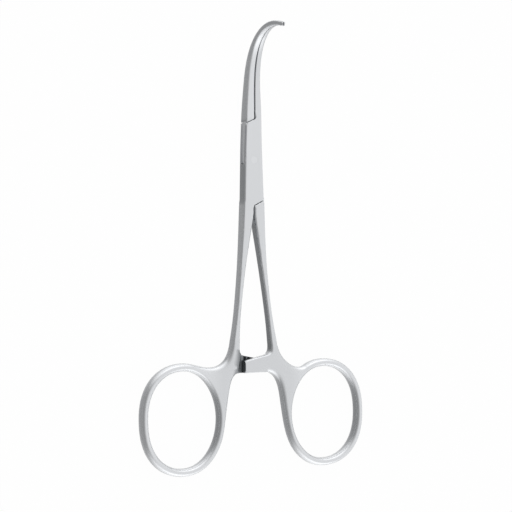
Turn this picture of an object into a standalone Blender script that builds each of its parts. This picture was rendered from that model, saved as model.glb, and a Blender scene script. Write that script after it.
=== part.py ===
"""Wire grasping forceps: a box-lock pair with curved, cross-serrated jaws, a ratchet and finger rings.

The instrument lies on its side in the X-Y plane. +Y runs along it towards the jaws, +Z is up, and
the jaws curve upwards. The pivot is vertical, and the left finger ring is at -X. Each half is
drawn as a plan outline, given its thickness and rounded edges by a height field, and bent into the
curve of the jaws. The box, the tenon, the rivet hole and the ratchet are then milled into it.
"""
import math

import bmesh
import bpy
import numpy as np
from mathutils import Vector
from mathutils.geometry import delaunay_2d_cdt

MM = 0.001

# Jaws, measured along their curve from the top corner of the box
JAW_LENGTH = 39.75 * MM
JAW_CURVE_ANGLE = math.radians(107.0)
JAW_CURVE_POWER = 1.9
JAW_TIP_WIDTH = 1.12 * MM
JAW_TIP_THICKNESS = 1.4 * MM
JAW_TIP_CORNER = 0.55 * MM
TIP_CORNER_ANGLES = (75.0, 45.0, 15.0)
TIP_ROUND = (0.27 * MM, 0.27 * MM)
JAW_WIDTH_TAPER = 1.65
JAW_THICKNESS_TAPER = 1.8
JAW_BACK_ROUND = 0.85 * MM
JAW_BACK_DEPTH = 0.28
JAW_BACK_ROUND_BY = 0.3
JAW_BACK_ROUND_LIMIT = 0.6
JAW_GAP_ROOT = 0.42 * MM
JAW_GAP_TIP = 0.14 * MM
JAW_GAP_CLOSES_FROM = 0.42
JAW_GAP_CLOSES_BY = 0.66
SEAM_OFFSET = 0.22 * MM
SERRATION_PITCH = 0.62 * MM
SERRATION_DEPTH = 0.16 * MM
SERRATION_START = 2.4 * MM
SERRATION_END_MARGIN = 0.7 * MM

# Box lock
BOX_THICKNESS = 3.7 * MM
BOX_TOP = 12.4 * MM
BOX_BOTTOM = 13.7 * MM
BOX_SIDE_BOTTOM = 12.1 * MM
BOX_HALF_WIDTH = 3.0 * MM
BOX_FLARE = 0.028
BOX_EDGE = 0.45 * MM
TOP_SEAM_ANGLE = math.radians(24.0)
BOTTOM_SEAM_ANGLE = math.radians(27.5)
SEAM_GAP = 0.2 * MM
SEAM_EDGE = 0.06 * MM
BOTTOM_SEAM_OFFSET = 0.1 * MM
TENON_THICKNESS = 1.4 * MM
TENON_BOSS_RADIUS = 2.65 * MM
TENON_SIDE_CLEARANCE = 0.12 * MM
TENON_FACE_CLEARANCE = 0.08 * MM
PIN_RADIUS = 1.1 * MM
PIN_CLEARANCE = 0.08 * MM
OPEN_ANGLE = math.radians(50.0)

# Shanks: the shares are measured from the root to the foot
SHANK_THICKNESS = 2.9 * MM
SHANK_THIN_FROM = 0.55
SHANK_THIN_UNTIL = 0.85
SHANK_ROOT_HALF_WIDTH = 2.18 * MM
SHANK_WAIST_HALF_WIDTH = 0.76 * MM
SHANK_FOOT_HALF_WIDTH = 1.02 * MM
SHANK_ROOT_X = 1.59 * MM
SHANK_FOOT_X = 6.45 * MM
SHANK_FOOT_Y = 54.5 * MM
SHANK_BOW = 0.06 * MM
SHANK_WAIST_AT = 0.75
SHANK_TAPER = 1.8
SHANK_GAP = 0.18 * MM
SHANK_EDGE = 0.55 * MM
SHANK_EDGE_DEPTH = 0.72 * MM

# Finger rings
RING_CENTRE_X = 24.65 * MM
RING_CENTRE_Y = 77.35 * MM
RING_WIDTH = 28.3 * MM
RING_HEIGHT = 33.3 * MM
RING_FULLNESS = 2.125
RING_OUTER_FULLNESS = 0.125
RING_BAR = 2.5 * MM
RING_THICKNESS = 3.7 * MM
RING_ROUND_SHARE = 0.47
RING_RIM_HEIGHT = 0.6 * MM

# Webs between shank and ring: each pull is a share of the web's length, at its start and its end
OUTER_WEB_ANGLE = math.radians(100.0)
OUTER_WEB_PULLS = (0.72, 0.44)
INNER_WEB_ANGLE = math.radians(-150.0)
INNER_WEB_PULLS = (0.2, 0.19)
INNER_WEB_X = 6.0 * MM
ARM_WEB_PULLS = (0.56, 0.7)
WEB_ROUND = 1.25 * MM
WEB_DEPTH = 1.1 * MM

# Ratchet arms
ARM_TOP = 59.25 * MM
ARM_END_TOP = 60.5 * MM
ARM_BOTTOM = 64.2 * MM
ARM_END = 3.85 * MM
ARM_ROOT = 2.4 * MM
ARM_EDGE = 0.18 * MM
ARM_GAP = 0.12 * MM
RELIEF_START = 6.65 * MM
RELIEF_FOOT = 4.25 * MM
RELIEF_POWER = 3.5
RELIEF_STEPS = (0.3, 0.5, 0.7, 0.85)
RELIEF_TILT = math.radians(9.0)
TOOTH_COUNT = 6
TOOTH_PITCH = 1.2 * MM
TOOTH_DEPTH = 0.55 * MM
TOOTH_LAND = 0.2 * MM

# Fineness of the facets, reach of the cutters, and finish
STEP_STRAIGHT = 3.0 * MM
STEP_CURVED = 1.45 * MM
STEP_JAW = 1.7 * MM
EDGE_ROWS = (0.3, 1.0)
ROW_CLEARANCE = 0.9
PIN_SEGMENTS = 32
BOSS_STEP = math.radians(10.0)
BEND_STEPS = 400
SMOOTH_ANGLE = math.radians(30.0)
TINY = 1e-7
CUTTER_REACH = 10.0 * MM
ARM_CUT_ABOVE = 2.2 * MM
ARM_CUT_BELOW = 2.6 * MM
FORGED_ROUGHNESS = 0.32
RIVET_ROUGHNESS = 0.36

MIDDLE = BOX_THICKNESS / 2
STEEL_COLOUR = (0.62, 0.64, 0.66, 1.0)


def remove_everything():
    """Empty the scene."""
    for old in list(bpy.data.objects):
        bpy.data.objects.remove(old, do_unlink=True)


def steel(name, roughness):
    """A satin stainless steel material."""
    material = bpy.data.materials.new(name)
    material.use_nodes = True
    shader = material.node_tree.nodes["Principled BSDF"]
    shader.inputs["Base Color"].default_value = STEEL_COLOUR
    shader.inputs["Metallic"].default_value = 1.0
    shader.inputs["Roughness"].default_value = roughness
    return material


def ease(t):
    """Smooth step from 0 to 1."""
    t = min(max(t, 0.0), 1.0)
    return t * t * (3.0 - 2.0 * t)


def box_half_width(y):
    """Half of the box's width, which flares a little towards the shanks."""
    return BOX_HALF_WIDTH - BOX_FLARE * y


def jaw_share(s):
    """Place along the jaw: 0 at the box's top corner, 1 at the tip."""
    return min(max((s - BOX_TOP) / JAW_LENGTH, 0.0), 1.0)


def jaw_back(s):
    """Distance of a jaw's rounded back from the seam's plane through the tip."""
    root = box_half_width(BOX_TOP)
    return JAW_TIP_WIDTH + (root - JAW_TIP_WIDTH) * (1.0 - jaw_share(s)) ** JAW_WIDTH_TAPER


def seam_line(s):
    """Middle of the gap between the jaws, which leans from the root to the tip."""
    return SEAM_OFFSET * (1.0 - jaw_share(s))


def jaw_gap(s):
    """Gap between the grasping faces: open at the root, closed towards the tips."""
    span = JAW_GAP_CLOSES_BY - JAW_GAP_CLOSES_FROM
    closing = ease((jaw_share(s) - JAW_GAP_CLOSES_FROM) / span)
    return JAW_GAP_ROOT + (JAW_GAP_TIP - JAW_GAP_ROOT) * closing


def full_thickness(y):
    """Thickness of the instrument at a place along it."""
    if y > BOX_TOP:
        share = jaw_share(y) ** JAW_THICKNESS_TAPER
        return BOX_THICKNESS + (JAW_TIP_THICKNESS - BOX_THICKNESS) * share
    if y > -BOX_BOTTOM:
        return BOX_THICKNESS
    thin_by = BOX_BOTTOM + SHANK_THIN_FROM * (SHANK_FOOT_Y - BOX_BOTTOM)
    thick_from = BOX_BOTTOM + SHANK_THIN_UNTIL * (SHANK_FOOT_Y - BOX_BOTTOM)
    if -y < thin_by:
        share = ease((-y - BOX_BOTTOM) / (thin_by - BOX_BOTTOM))
        return BOX_THICKNESS + (SHANK_THICKNESS - BOX_THICKNESS) * share
    share = ease((-y - thick_from) / (ARM_BOTTOM - thick_from))
    return SHANK_THICKNESS + (RING_THICKNESS - SHANK_THICKNESS) * share


def straight_run(start, end, edge, step=STEP_STRAIGHT):
    """Points from start up to, but without, end. edge is the rounding's width and depth."""
    start, end = np.array(start), np.array(end)
    count = max(1, math.ceil(np.linalg.norm(end - start) / step))
    return [(*(start + (end - start) * i / count), *edge) for i in range(count)]


def bezier_run(start, end, ways, pulls, edges, step=STEP_CURVED):
    """A curve from start to end; ways, pulls and edges hold one value for each of its two ends."""
    start, end = np.array(start), np.array(end)
    length = np.linalg.norm(end - start)
    out_handle = start + np.array(ways[0]) / np.linalg.norm(ways[0]) * length * pulls[0]
    in_handle = end - np.array(ways[1]) / np.linalg.norm(ways[1]) * length * pulls[1]
    count = max(3, math.ceil(length / step))
    first_edge, last_edge = np.array(edges[0]), np.array(edges[1])
    run = []
    for i in range(count):
        t = i / count
        u = 1.0 - t
        place = u**3 * start + 3 * u * u * t * out_handle + 3 * u * t * t * in_handle + t**3 * end
        run.append((*place, *(first_edge + (last_edge - first_edge) * ease(2.0 * t))))
    return run


def ring_point(angle, width, height):
    """A point on the right ring's oval, which is a little fuller on its outer side."""
    cosine, sine = math.cos(angle), math.sin(angle)
    power = 2.0 / (RING_FULLNESS + RING_OUTER_FULLNESS * cosine)
    x = width / 2 * math.copysign(abs(cosine) ** power, cosine)
    y = height / 2 * math.copysign(abs(sine) ** power, sine)
    return np.array((RING_CENTRE_X + x, -RING_CENTRE_Y + y))


def ring_way(angle):
    """The way along the ring's outer edge at an angle, walked clockwise."""
    ahead = ring_point(angle - BOSS_STEP / 2, RING_WIDTH, RING_HEIGHT)
    return ahead - ring_point(angle + BOSS_STEP / 2, RING_WIDTH, RING_HEIGHT)


def ring_edge():
    """Rounding of the ring's bar: nearly an oval section."""
    return (RING_BAR * RING_ROUND_SHARE, (RING_THICKNESS - RING_RIM_HEIGHT) / 2)


def ring_arc(angle_from, angle_to, width, height):
    """Points along the ring's oval, without the last."""
    length = abs(angle_to - angle_from) * (width + height) / 4
    count = max(8, math.ceil(length / STEP_CURVED))
    run = []
    for i in range(count):
        place = ring_point(angle_from + (angle_to - angle_from) * i / count, width, height)
        run.append((*place, *ring_edge()))
    return run


def shank_edge_point(t, side):
    """A point on the right shank's edge. t is 0 at its root, 1 at its foot; side is -1 or 1."""
    y = -(BOX_BOTTOM + (SHANK_FOOT_Y - BOX_BOTTOM) * t)
    middle = SHANK_ROOT_X + (SHANK_FOOT_X - SHANK_ROOT_X) * t - SHANK_BOW * math.sin(math.pi * t)
    if t < SHANK_WAIST_AT:
        share = (1.0 - t / SHANK_WAIST_AT) ** SHANK_TAPER
        half = SHANK_WAIST_HALF_WIDTH + (SHANK_ROOT_HALF_WIDTH - SHANK_WAIST_HALF_WIDTH) * share
    else:
        share = ((t - SHANK_WAIST_AT) / (1.0 - SHANK_WAIST_AT)) ** 2
        half = SHANK_WAIST_HALF_WIDTH + (SHANK_FOOT_HALF_WIDTH - SHANK_WAIST_HALF_WIDTH) * share
    return (middle + half, y) if side > 0 else (max(middle - half, SHANK_GAP / 2), y)


def shank_run(side, t_from, t_to):
    """Points along one edge of the right shank, without the last."""
    count = max(4, math.ceil((SHANK_FOOT_Y - BOX_BOTTOM) * abs(t_to - t_from) / STEP_STRAIGHT))
    ways = [t_from + (t_to - t_from) * i / count for i in range(count)]
    return [(*shank_edge_point(t, side), SHANK_EDGE, SHANK_EDGE_DEPTH) for t in ways]


def shank_foot(side):
    """The foot of the right shank's edge and the way down along it."""
    foot = shank_edge_point(1.0, side)
    return foot, np.subtract(foot, shank_edge_point(SHANK_THIN_UNTIL, side))


def handle_outline():
    """The right handle: down the shank's outer edge, round the ring and the arm, up the inner edge."""
    shank_soft = (SHANK_EDGE, SHANK_EDGE_DEPTH)
    arm_crisp = (ARM_EDGE, ARM_EDGE)
    web_soft = (WEB_ROUND, WEB_DEPTH)
    outer_foot, outer_way = shank_foot(1)
    inner_foot, inner_way = shank_foot(-1)
    onto_ring = ring_point(OUTER_WEB_ANGLE, RING_WIDTH, RING_HEIGHT)
    off_ring = ring_point(INNER_WEB_ANGLE, RING_WIDTH, RING_HEIGHT)
    lower_root = (INNER_WEB_X, -ARM_BOTTOM)
    lower_end, upper_end = (-ARM_END, -ARM_BOTTOM), (-ARM_END, -ARM_END_TOP)
    arm_root = (ARM_ROOT, -ARM_TOP)
    run = shank_run(1, 0.0, 1.0)
    run += bezier_run(outer_foot, onto_ring, (outer_way, ring_way(OUTER_WEB_ANGLE)), OUTER_WEB_PULLS,
                      (shank_soft, ring_edge()))
    run += ring_arc(OUTER_WEB_ANGLE, INNER_WEB_ANGLE, RING_WIDTH, RING_HEIGHT)
    run += bezier_run(off_ring, lower_root, (ring_way(INNER_WEB_ANGLE), (-1.0, 0.0)), INNER_WEB_PULLS,
                      (ring_edge(), web_soft))
    run += straight_run(lower_root, lower_end, arm_crisp)
    run += straight_run(lower_end, upper_end, arm_crisp)
    run += straight_run(upper_end, arm_root, arm_crisp)
    run += bezier_run(arm_root, inner_foot, (np.subtract(arm_root, upper_end), -inner_way), ARM_WEB_PULLS,
                      (arm_crisp, shank_soft), STEP_CURVED / 2)
    run += shank_run(-1, 1.0, 0.0)
    return run


def ring_hole():
    """The finger hole of the right ring, anticlockwise."""
    return ring_arc(0.0, 2 * math.pi, RING_WIDTH - 2 * RING_BAR, RING_HEIGHT - 2 * RING_BAR)


def serrated_face(side):
    """The grasping face of one jaw from root to tip, side 1 for the right jaw."""
    crisp = (SEAM_EDGE, SEAM_EDGE)
    tip = BOX_TOP + JAW_LENGTH
    first = BOX_TOP + SERRATION_START
    last = tip - SERRATION_END_MARGIN
    count = int((last - first) / SERRATION_PITCH)

    def face(s, wave):
        """A point on the face, pushed right by a share of the serration's depth."""
        return (seam_line(s) + side * jaw_gap(s) / 2 + SERRATION_DEPTH * wave, s, *crisp)

    run = [face(BOX_TOP + side_gap(side), 0.0), face(first - SERRATION_PITCH / 2, 0.0)]
    for tooth in range(count):
        start = first + tooth * SERRATION_PITCH
        run.append(face(start, -0.5))
        run.append(face(start + SERRATION_PITCH / 2, 0.5))
    run.append(face(first + count * SERRATION_PITCH, -0.5))
    run.append(face(tip - JAW_TIP_CORNER / 3, 0.0))
    return run


def side_gap(side):
    """The left jaw's root starts a seam's gap above the box, the right one's on it."""
    return SEAM_GAP if side < 0 else 0.0


def jaw_back_edge(s):
    """Rounding of a jaw's back, which grows from the box's edge and shrinks with the jaw."""
    grown = ease(jaw_share(s) / JAW_BACK_ROUND_BY)
    width = BOX_EDGE + (JAW_BACK_ROUND - BOX_EDGE) * grown
    depth = BOX_EDGE + (JAW_BACK_DEPTH * full_thickness(s) - BOX_EDGE) * grown
    return (min(width, JAW_BACK_ROUND_LIMIT * (jaw_back(s) - seam_line(s))), depth)


def jaw_back_run(side):
    """The rounded tip and the back of one jaw, from the tip down to the box."""
    tip = BOX_TOP + JAW_LENGTH
    run = []
    for angle in TIP_CORNER_ANGLES:
        turn = math.radians(angle)
        x = jaw_back(tip) - JAW_TIP_CORNER * (1.0 - math.cos(turn))
        run.append((side * x, tip - JAW_TIP_CORNER * (1.0 - math.sin(turn)), *TIP_ROUND))
    count = math.ceil((JAW_LENGTH - JAW_TIP_CORNER) / STEP_JAW)
    for i in range(1, count):
        s = tip - JAW_TIP_CORNER - (JAW_LENGTH - JAW_TIP_CORNER) * i / count
        run.append((side * jaw_back(s), s, *jaw_back_edge(s)))
    return run


def tangent_angle(x, y, radius, side):
    """Angle on the tenon's boss where the line from a point touches it; side 1 is the right hand."""
    return math.atan2(y, x) + side * math.acos(radius / math.hypot(x, y))


def on_boss(angle, radius=TENON_BOSS_RADIUS):
    """A point of the tenon's round boss."""
    return (radius * math.cos(angle), radius * math.sin(angle))


def boss_run(angle_from, angle_to):
    """Points round the tenon's boss, without the last."""
    count = max(2, math.ceil(abs(angle_to - angle_from) / BOSS_STEP))
    edge = (SEAM_EDGE, SEAM_EDGE)
    return [(*on_boss(angle_from + (angle_to - angle_from) * i / count), *edge) for i in range(count)]


def seam_ends():
    """Where the box's two diagonal seams meet its sides and its inner corners."""
    top_corner = (SEAM_OFFSET + JAW_GAP_ROOT / 2, BOX_TOP)
    bottom_corner = (-BOTTOM_SEAM_OFFSET, -BOX_BOTTOM)
    top_rise, bottom_rise = math.tan(TOP_SEAM_ANGLE), math.tan(BOTTOM_SEAM_ANGLE)
    top_y = (BOX_TOP - (BOX_HALF_WIDTH + top_corner[0]) * top_rise) / (1.0 - BOX_FLARE * top_rise)
    bottom_y = (-BOX_BOTTOM + (BOX_HALF_WIDTH + BOTTOM_SEAM_OFFSET) * bottom_rise) / (
        1.0 + BOX_FLARE * bottom_rise)
    return {
        "top_corner": top_corner,
        "bottom_corner": bottom_corner,
        "top_side": (-box_half_width(top_y), top_y),
        "bottom_side": (box_half_width(bottom_y), bottom_y),
    }


def mirrored(run):
    """The same run on the other side of the instrument, walked the other way."""
    return [(-x, y, width, depth) for x, y, width, depth in reversed(run)]


def female_outline():
    """Plan of the half with the box: right jaw, box, left shank and ring."""
    ends = seam_ends()
    side_edge = (BOX_EDGE, BOX_EDGE)
    seam_edge = (SEAM_EDGE, SEAM_EDGE)
    root_right = (jaw_back(BOX_TOP), BOX_TOP)
    handle = mirrored(handle_outline())
    left_root = (handle[-1][0], handle[-1][1])
    left_side = (-box_half_width(-BOX_SIDE_BOTTOM), -BOX_SIDE_BOTTOM)
    run = jaw_back_run(1)
    run += straight_run(root_right, ends["bottom_side"], side_edge)
    run += straight_run(ends["bottom_side"], ends["bottom_corner"], seam_edge)
    run += straight_run(ends["bottom_corner"], (handle[0][0], handle[0][1]), seam_edge)
    run += handle
    run += straight_run(left_root, left_side, side_edge)[1:]
    run += straight_run(left_side, ends["top_side"], side_edge)
    run += straight_run(ends["top_side"], ends["top_corner"], seam_edge)
    run += serrated_face(1)
    return run


def tenon_lines():
    """Where the tenon's edges start at the jaw and shank and where they meet its boss."""
    ends = seam_ends()
    shoulder_left = (-box_half_width(BOX_TOP), ends["top_side"][1])
    shoulder_right = (box_half_width(-BOX_BOTTOM) - TENON_SIDE_CLEARANCE, ends["bottom_side"][1])
    return {
        "left_from": shoulder_left,
        "left_angle": tangent_angle(*shoulder_left, TENON_BOSS_RADIUS, 1),
        "right_from": shoulder_right,
        "right_angle": tangent_angle(*shoulder_right, TENON_BOSS_RADIUS, 1),
        "upper_from": (SEAM_OFFSET - JAW_GAP_ROOT / 2, BOX_TOP),
        "lower_from": (-BOTTOM_SEAM_OFFSET + SEAM_GAP, -BOX_BOTTOM),
    }


def male_outline():
    """Plan of the half with the tenon: left jaw, tenon, right shank and ring, clockwise."""
    lines = tenon_lines()
    seam_edge = (SEAM_EDGE, SEAM_EDGE)
    side_edge = jaw_back_edge(BOX_TOP)
    back_root = (-jaw_back(BOX_TOP), BOX_TOP)
    right_open = lines["right_angle"] + OPEN_ANGLE
    left_open = lines["left_angle"] + OPEN_ANGLE
    outline = straight_run(on_boss(lines["left_angle"]), lines["left_from"], side_edge)
    outline += straight_run(lines["left_from"], back_root, side_edge)
    outline.append((*back_root, *side_edge))
    outline += reversed(jaw_back_run(-1))
    outline += reversed(serrated_face(-1))
    outline += straight_run(lines["upper_from"], on_boss(right_open), seam_edge)
    outline += boss_run(right_open, lines["right_angle"])
    outline += straight_run(on_boss(lines["right_angle"]), lines["right_from"], seam_edge)
    outline += handle_outline()
    outline += straight_run(lines["lower_from"], on_boss(left_open), seam_edge)
    outline += boss_run(left_open, lines["left_angle"])
    return outline


def segment_distances(places, starts, ends):
    """Distance of every place from every outline segment, as a matrix."""
    ways = ends - starts
    lengths = np.maximum((ways**2).sum(axis=1), TINY**2)
    offsets = places[:, None, :] - starts[None, :, :]
    shares = np.clip((offsets * ways[None]).sum(axis=2) / lengths[None], 0.0, 1.0)
    return np.linalg.norm(offsets - shares[..., None] * ways[None], axis=2), shares


def inside(places, starts, ends):
    """Whether each place is on the material's side of the closed outlines."""
    x, y = places[:, :1], places[:, 1:]
    crosses = (starts[None, :, 1] > y) != (ends[None, :, 1] > y)
    rise = ends[:, 1] - starts[:, 1]
    rise = np.where(np.abs(rise) < TINY**2, TINY**2, rise)
    at = starts[None, :, 0] + (y - starts[None, :, 1]) * (ends[:, 0] - starts[:, 0]) / rise
    return (crosses & (x < at)).sum(axis=1) % 2 == 1


def inward_ways(loop):
    """Unit vectors into the material at each point of an anticlockwise outline or clockwise hole."""
    ahead = np.roll(loop, -1, axis=0) - loop
    ahead /= np.maximum(np.linalg.norm(ahead, axis=1, keepdims=True), TINY)
    behind = np.roll(ahead, 1, axis=0)
    sums = ahead + behind
    normals = np.stack((-sums[:, 1], sums[:, 0]), axis=1)
    return normals / np.maximum(np.linalg.norm(normals, axis=1, keepdims=True), TINY)


def half_heights(places, starts, ends, edges, edges_end):
    """Height of the plate's face over its middle plane, with the rounding along its edges."""
    distances, shares = segment_distances(places, starts, ends)
    widths = edges[None, :, 0] + (edges_end[:, 0] - edges[:, 0])[None] * shares
    depths = edges[None, :, 1] + (edges_end[:, 1] - edges[:, 1])[None] * shares
    into = np.clip(distances / widths, 0.0, 1.0)
    drops = depths * (1.0 - np.sqrt(1.0 - (1.0 - into) ** 2))
    thickness = np.array([full_thickness(y) for y in places[:, 1]])
    return thickness / 2 - drops.max(axis=1)


def bend_table():
    """The jaws' middle line in the Y-Z plane: length along it, then Y, Z and the slope."""
    along = np.linspace(0.0, JAW_LENGTH, BEND_STEPS)
    slopes = JAW_CURVE_ANGLE * (along / JAW_LENGTH) ** JAW_CURVE_POWER
    step = along[1]
    mean = (slopes[1:] + slopes[:-1]) / 2
    y = BOX_TOP + np.concatenate(([0.0], np.cumsum(np.cos(mean)) * step))
    z = np.concatenate(([0.0], np.cumsum(np.sin(mean)) * step))
    return BOX_TOP + along, y, z, slopes


def bent(place, table):
    """Carry a point of the straight jaw onto the curved one."""
    x, s, z = place
    along, ys, zs, slopes = table
    if s <= along[0]:
        return Vector((x, s, z + MIDDLE))
    slope = float(np.interp(s, along, slopes))
    over = max(s - along[-1], 0.0)
    y = float(np.interp(s, along, ys)) + over * math.cos(slope) - z * math.sin(slope)
    height = float(np.interp(s, along, zs)) + over * math.sin(slope) + z * math.cos(slope)
    return Vector((x, y, height + MIDDLE))


def plate_object(name, outline, hole, material):
    """A closed body from a clockwise outline and an anticlockwise hole."""
    loops = [np.array(outline)[::-1], np.array(hole)[::-1]]
    starts = np.concatenate([loop[:, :2] for loop in loops])
    ends = np.concatenate([np.roll(loop[:, :2], -1, axis=0) for loop in loops])
    edges = np.concatenate([loop[:, 2:] for loop in loops])
    edges_end = np.concatenate([np.roll(loop[:, 2:], -1, axis=0) for loop in loops])
    inward = np.concatenate([inward_ways(loop[:, :2]) for loop in loops])
    places, constraints, base = list(starts), [], 0
    for loop in loops:
        constraints += [(base + i, base + (i + 1) % len(loop)) for i in range(len(loop))]
        base += len(loop)
    for row in EDGE_ROWS:
        offsets = edges[:, 0] * row
        moved = starts + inward * offsets[:, None]
        clear = segment_distances(moved, starts, ends)[0].min(axis=1) > ROW_CLEARANCE * offsets
        places += list(moved[clear & inside(moved, starts, ends)])
    flat, _, faces, _, _, _ = delaunay_2d_cdt([Vector(p) for p in places], constraints, [], 0, TINY)
    flat = np.array([tuple(v) for v in flat])
    centres = np.array([flat[list(face)].mean(axis=0) for face in faces])
    kept = [face for face, good in zip(faces, inside(centres, starts, ends)) if good]
    heights = half_heights(flat, starts, ends, edges, edges_end)
    mesh = plate_mesh(name, flat, heights, kept)
    body = bpy.data.objects.new(name, mesh)
    bpy.context.collection.objects.link(body)
    mesh.materials.append(material)
    return body


def plate_mesh(name, flat, heights, faces):
    """Upper face, its mirror image below and the wall between them, carried onto the curve."""
    table = bend_table()
    shape = bmesh.new()
    used = sorted({i for face in faces for i in face})
    upper = {i: shape.verts.new(bent((*flat[i], heights[i]), table)) for i in used}
    lower = {i: shape.verts.new(bent((*flat[i], -heights[i]), table)) for i in used}
    rims = set()
    for face in faces:
        shape.faces.new([upper[i] for i in face])
        shape.faces.new([lower[i] for i in reversed(face)])
        rims.update(zip(face, face[1:] + face[:1]))
    for a, b in rims:
        if (b, a) not in rims:
            shape.faces.new((upper[b], upper[a], lower[a], lower[b]))
    bmesh.ops.recalc_face_normals(shape, faces=shape.faces)
    mesh = bpy.data.meshes.new(name)
    shape.to_mesh(mesh)
    shape.free()
    mesh.shade_smooth()
    mesh.set_sharp_from_angle(angle=SMOOTH_ANGLE)
    return mesh


def prism(name, corners, z_from, z_to):
    """A cutter with the given plan, between two heights."""
    shape = bmesh.new()
    ring = [shape.verts.new((x, y, z_from)) for x, y in corners]
    base = shape.faces.new(ring)
    top = bmesh.ops.extrude_face_region(shape, geom=[base])
    raised = [v for v in top["geom"] if isinstance(v, bmesh.types.BMVert)]
    bmesh.ops.translate(shape, verts=raised, vec=(0.0, 0.0, z_to - z_from))
    bmesh.ops.recalc_face_normals(shape, faces=shape.faces)
    return cutter_object(name, shape)


def across_prism(name, profile, y_from, y_to):
    """A cutter with a profile in X and Z, running along Y."""
    shape = bmesh.new()
    ring = [shape.verts.new((x, y_from, z)) for x, z in profile]
    base = shape.faces.new(ring)
    top = bmesh.ops.extrude_face_region(shape, geom=[base])
    raised = [v for v in top["geom"] if isinstance(v, bmesh.types.BMVert)]
    bmesh.ops.translate(shape, verts=raised, vec=(0.0, y_to - y_from, 0.0))
    bmesh.ops.recalc_face_normals(shape, faces=shape.faces)
    return cutter_object(name, shape)


def cutter_object(name, shape):
    """A hidden object that only cuts."""
    mesh = bpy.data.meshes.new(name)
    shape.to_mesh(mesh)
    shape.free()
    cutter = bpy.data.objects.new(name, mesh)
    bpy.context.collection.objects.link(cutter)
    cutter.hide_render = True
    cutter.display_type = "WIRE"
    return cutter


def cut(body, cutter):
    """Mill the cutter's shape out of the body."""
    modifier = body.modifiers.new(cutter.name, "BOOLEAN")
    modifier.operation = "DIFFERENCE"
    modifier.solver = "EXACT"
    modifier.object = cutter


def far_along(point, way, length):
    """A point a length away from another."""
    way = np.array(way) / np.linalg.norm(way)
    return tuple(np.array(point) + way * length)


def slot_cutter():
    """The slot through the box: everything that the tenon sweeps as the jaws open."""
    lines = tenon_lines()
    radius = TENON_BOSS_RADIUS + TENON_SIDE_CLEARANCE
    right_open = lines["right_angle"] + OPEN_ANGLE
    left_open = lines["left_angle"] + OPEN_ANGLE
    right_meet, left_meet = on_boss(right_open, radius), on_boss(left_open, radius)
    upper_way = np.subtract(lines["upper_from"], on_boss(right_open))
    lower_way = np.subtract(lines["lower_from"], on_boss(left_open))
    upper_far = far_along(right_meet, upper_way, BOX_TOP + CUTTER_REACH)
    lower_far = far_along(left_meet, lower_way, BOX_BOTTOM + CUTTER_REACH)
    right_far = far_along(right_meet, (math.sin(right_open), -math.cos(right_open)), CUTTER_REACH)
    left_far = far_along(left_meet, (math.sin(left_open), -math.cos(left_open)), CUTTER_REACH)
    corners = [upper_far, right_meet, right_far, (right_far[0], lower_far[1]),
               lower_far, left_meet, left_far, (left_far[0], upper_far[1])]
    half = TENON_THICKNESS / 2 + TENON_FACE_CLEARANCE
    return prism("box_slot_cutter", corners, MIDDLE - half, MIDDLE + half)


def cheek_pocket_cutter(name, side):
    """The pocket beside the tenon for one cheek, between the two seams; side 1 is the upper one."""
    ends = seam_ends()
    reach = CUTTER_REACH

    def on_seam(corner, angle, x, gap):
        """A point on a seam's line, moved off it by the gap."""
        return (x, corner[1] + (x - corner[0]) * math.tan(angle) + gap / math.cos(angle))

    top = [on_seam(ends["top_corner"], TOP_SEAM_ANGLE, x, SEAM_GAP) for x in (-reach, reach)]
    bottom = [on_seam(ends["bottom_corner"], BOTTOM_SEAM_ANGLE, x, -SEAM_GAP) for x in (reach, -reach)]
    near = MIDDLE + side * TENON_THICKNESS / 2
    far = MIDDLE + side * BOX_THICKNESS
    return prism(name, top + bottom, min(near, far), max(near, far))


def ratchet_profile(side):
    """Profile that mills one arm to half its thickness: relief, toothed face and far side.

    side 1 is the left arm, which keeps its lower half and is cut from above.
    """
    face = -ARM_GAP / 2
    outer = BOX_THICKNESS
    run = RELIEF_START - RELIEF_FOOT
    drop = RING_THICKNESS / 2 - face
    profile = [(-RELIEF_START, RING_THICKNESS / 2 + TINY)]
    for share in RELIEF_STEPS:
        profile.append((-RELIEF_START + run * share, RING_THICKNESS / 2 - drop * share**RELIEF_POWER))
    profile.append((-RELIEF_FOOT, face))
    for tooth in range(TOOTH_COUNT):
        end = ARM_END - TOOTH_LAND - (TOOTH_COUNT - tooth - 1) * TOOTH_PITCH
        profile.append((end - TOOTH_PITCH + TOOTH_LAND / 2, face))
        profile.append((end - TOOTH_LAND, face - TOOTH_DEPTH))
        profile.append((end, face))
    profile += [(ARM_END + RELIEF_START, face), (ARM_END + RELIEF_START, outer), (-RELIEF_START, outer)]
    return [(side * x, MIDDLE + side * z) for x, z in profile]


def ratchet_cutter(name, side):
    """Cutter that leaves one ratchet arm and its teeth; side 1 cuts the left arm from above."""
    cutter = across_prism(name, ratchet_profile(side), -ARM_BOTTOM - ARM_CUT_BELOW, -ARM_TOP + ARM_CUT_ABOVE)
    for vertex in cutter.data.vertices:
        if abs(vertex.co.x + side * RELIEF_START) < RELIEF_START - RELIEF_FOOT + TINY:
            vertex.co.x += side * (vertex.co.y + ARM_END_TOP) * math.tan(RELIEF_TILT)
    return cutter


def pin_cylinder(radius, z_from, z_to):
    """An upright cylinder on the pivot's axis."""
    shape = bmesh.new()
    bmesh.ops.create_cone(shape, cap_ends=True, segments=PIN_SEGMENTS, radius1=radius, radius2=radius,
                          depth=z_to - z_from)
    bmesh.ops.translate(shape, verts=shape.verts, vec=(0.0, 0.0, (z_from + z_to) / 2))
    return shape


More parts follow.
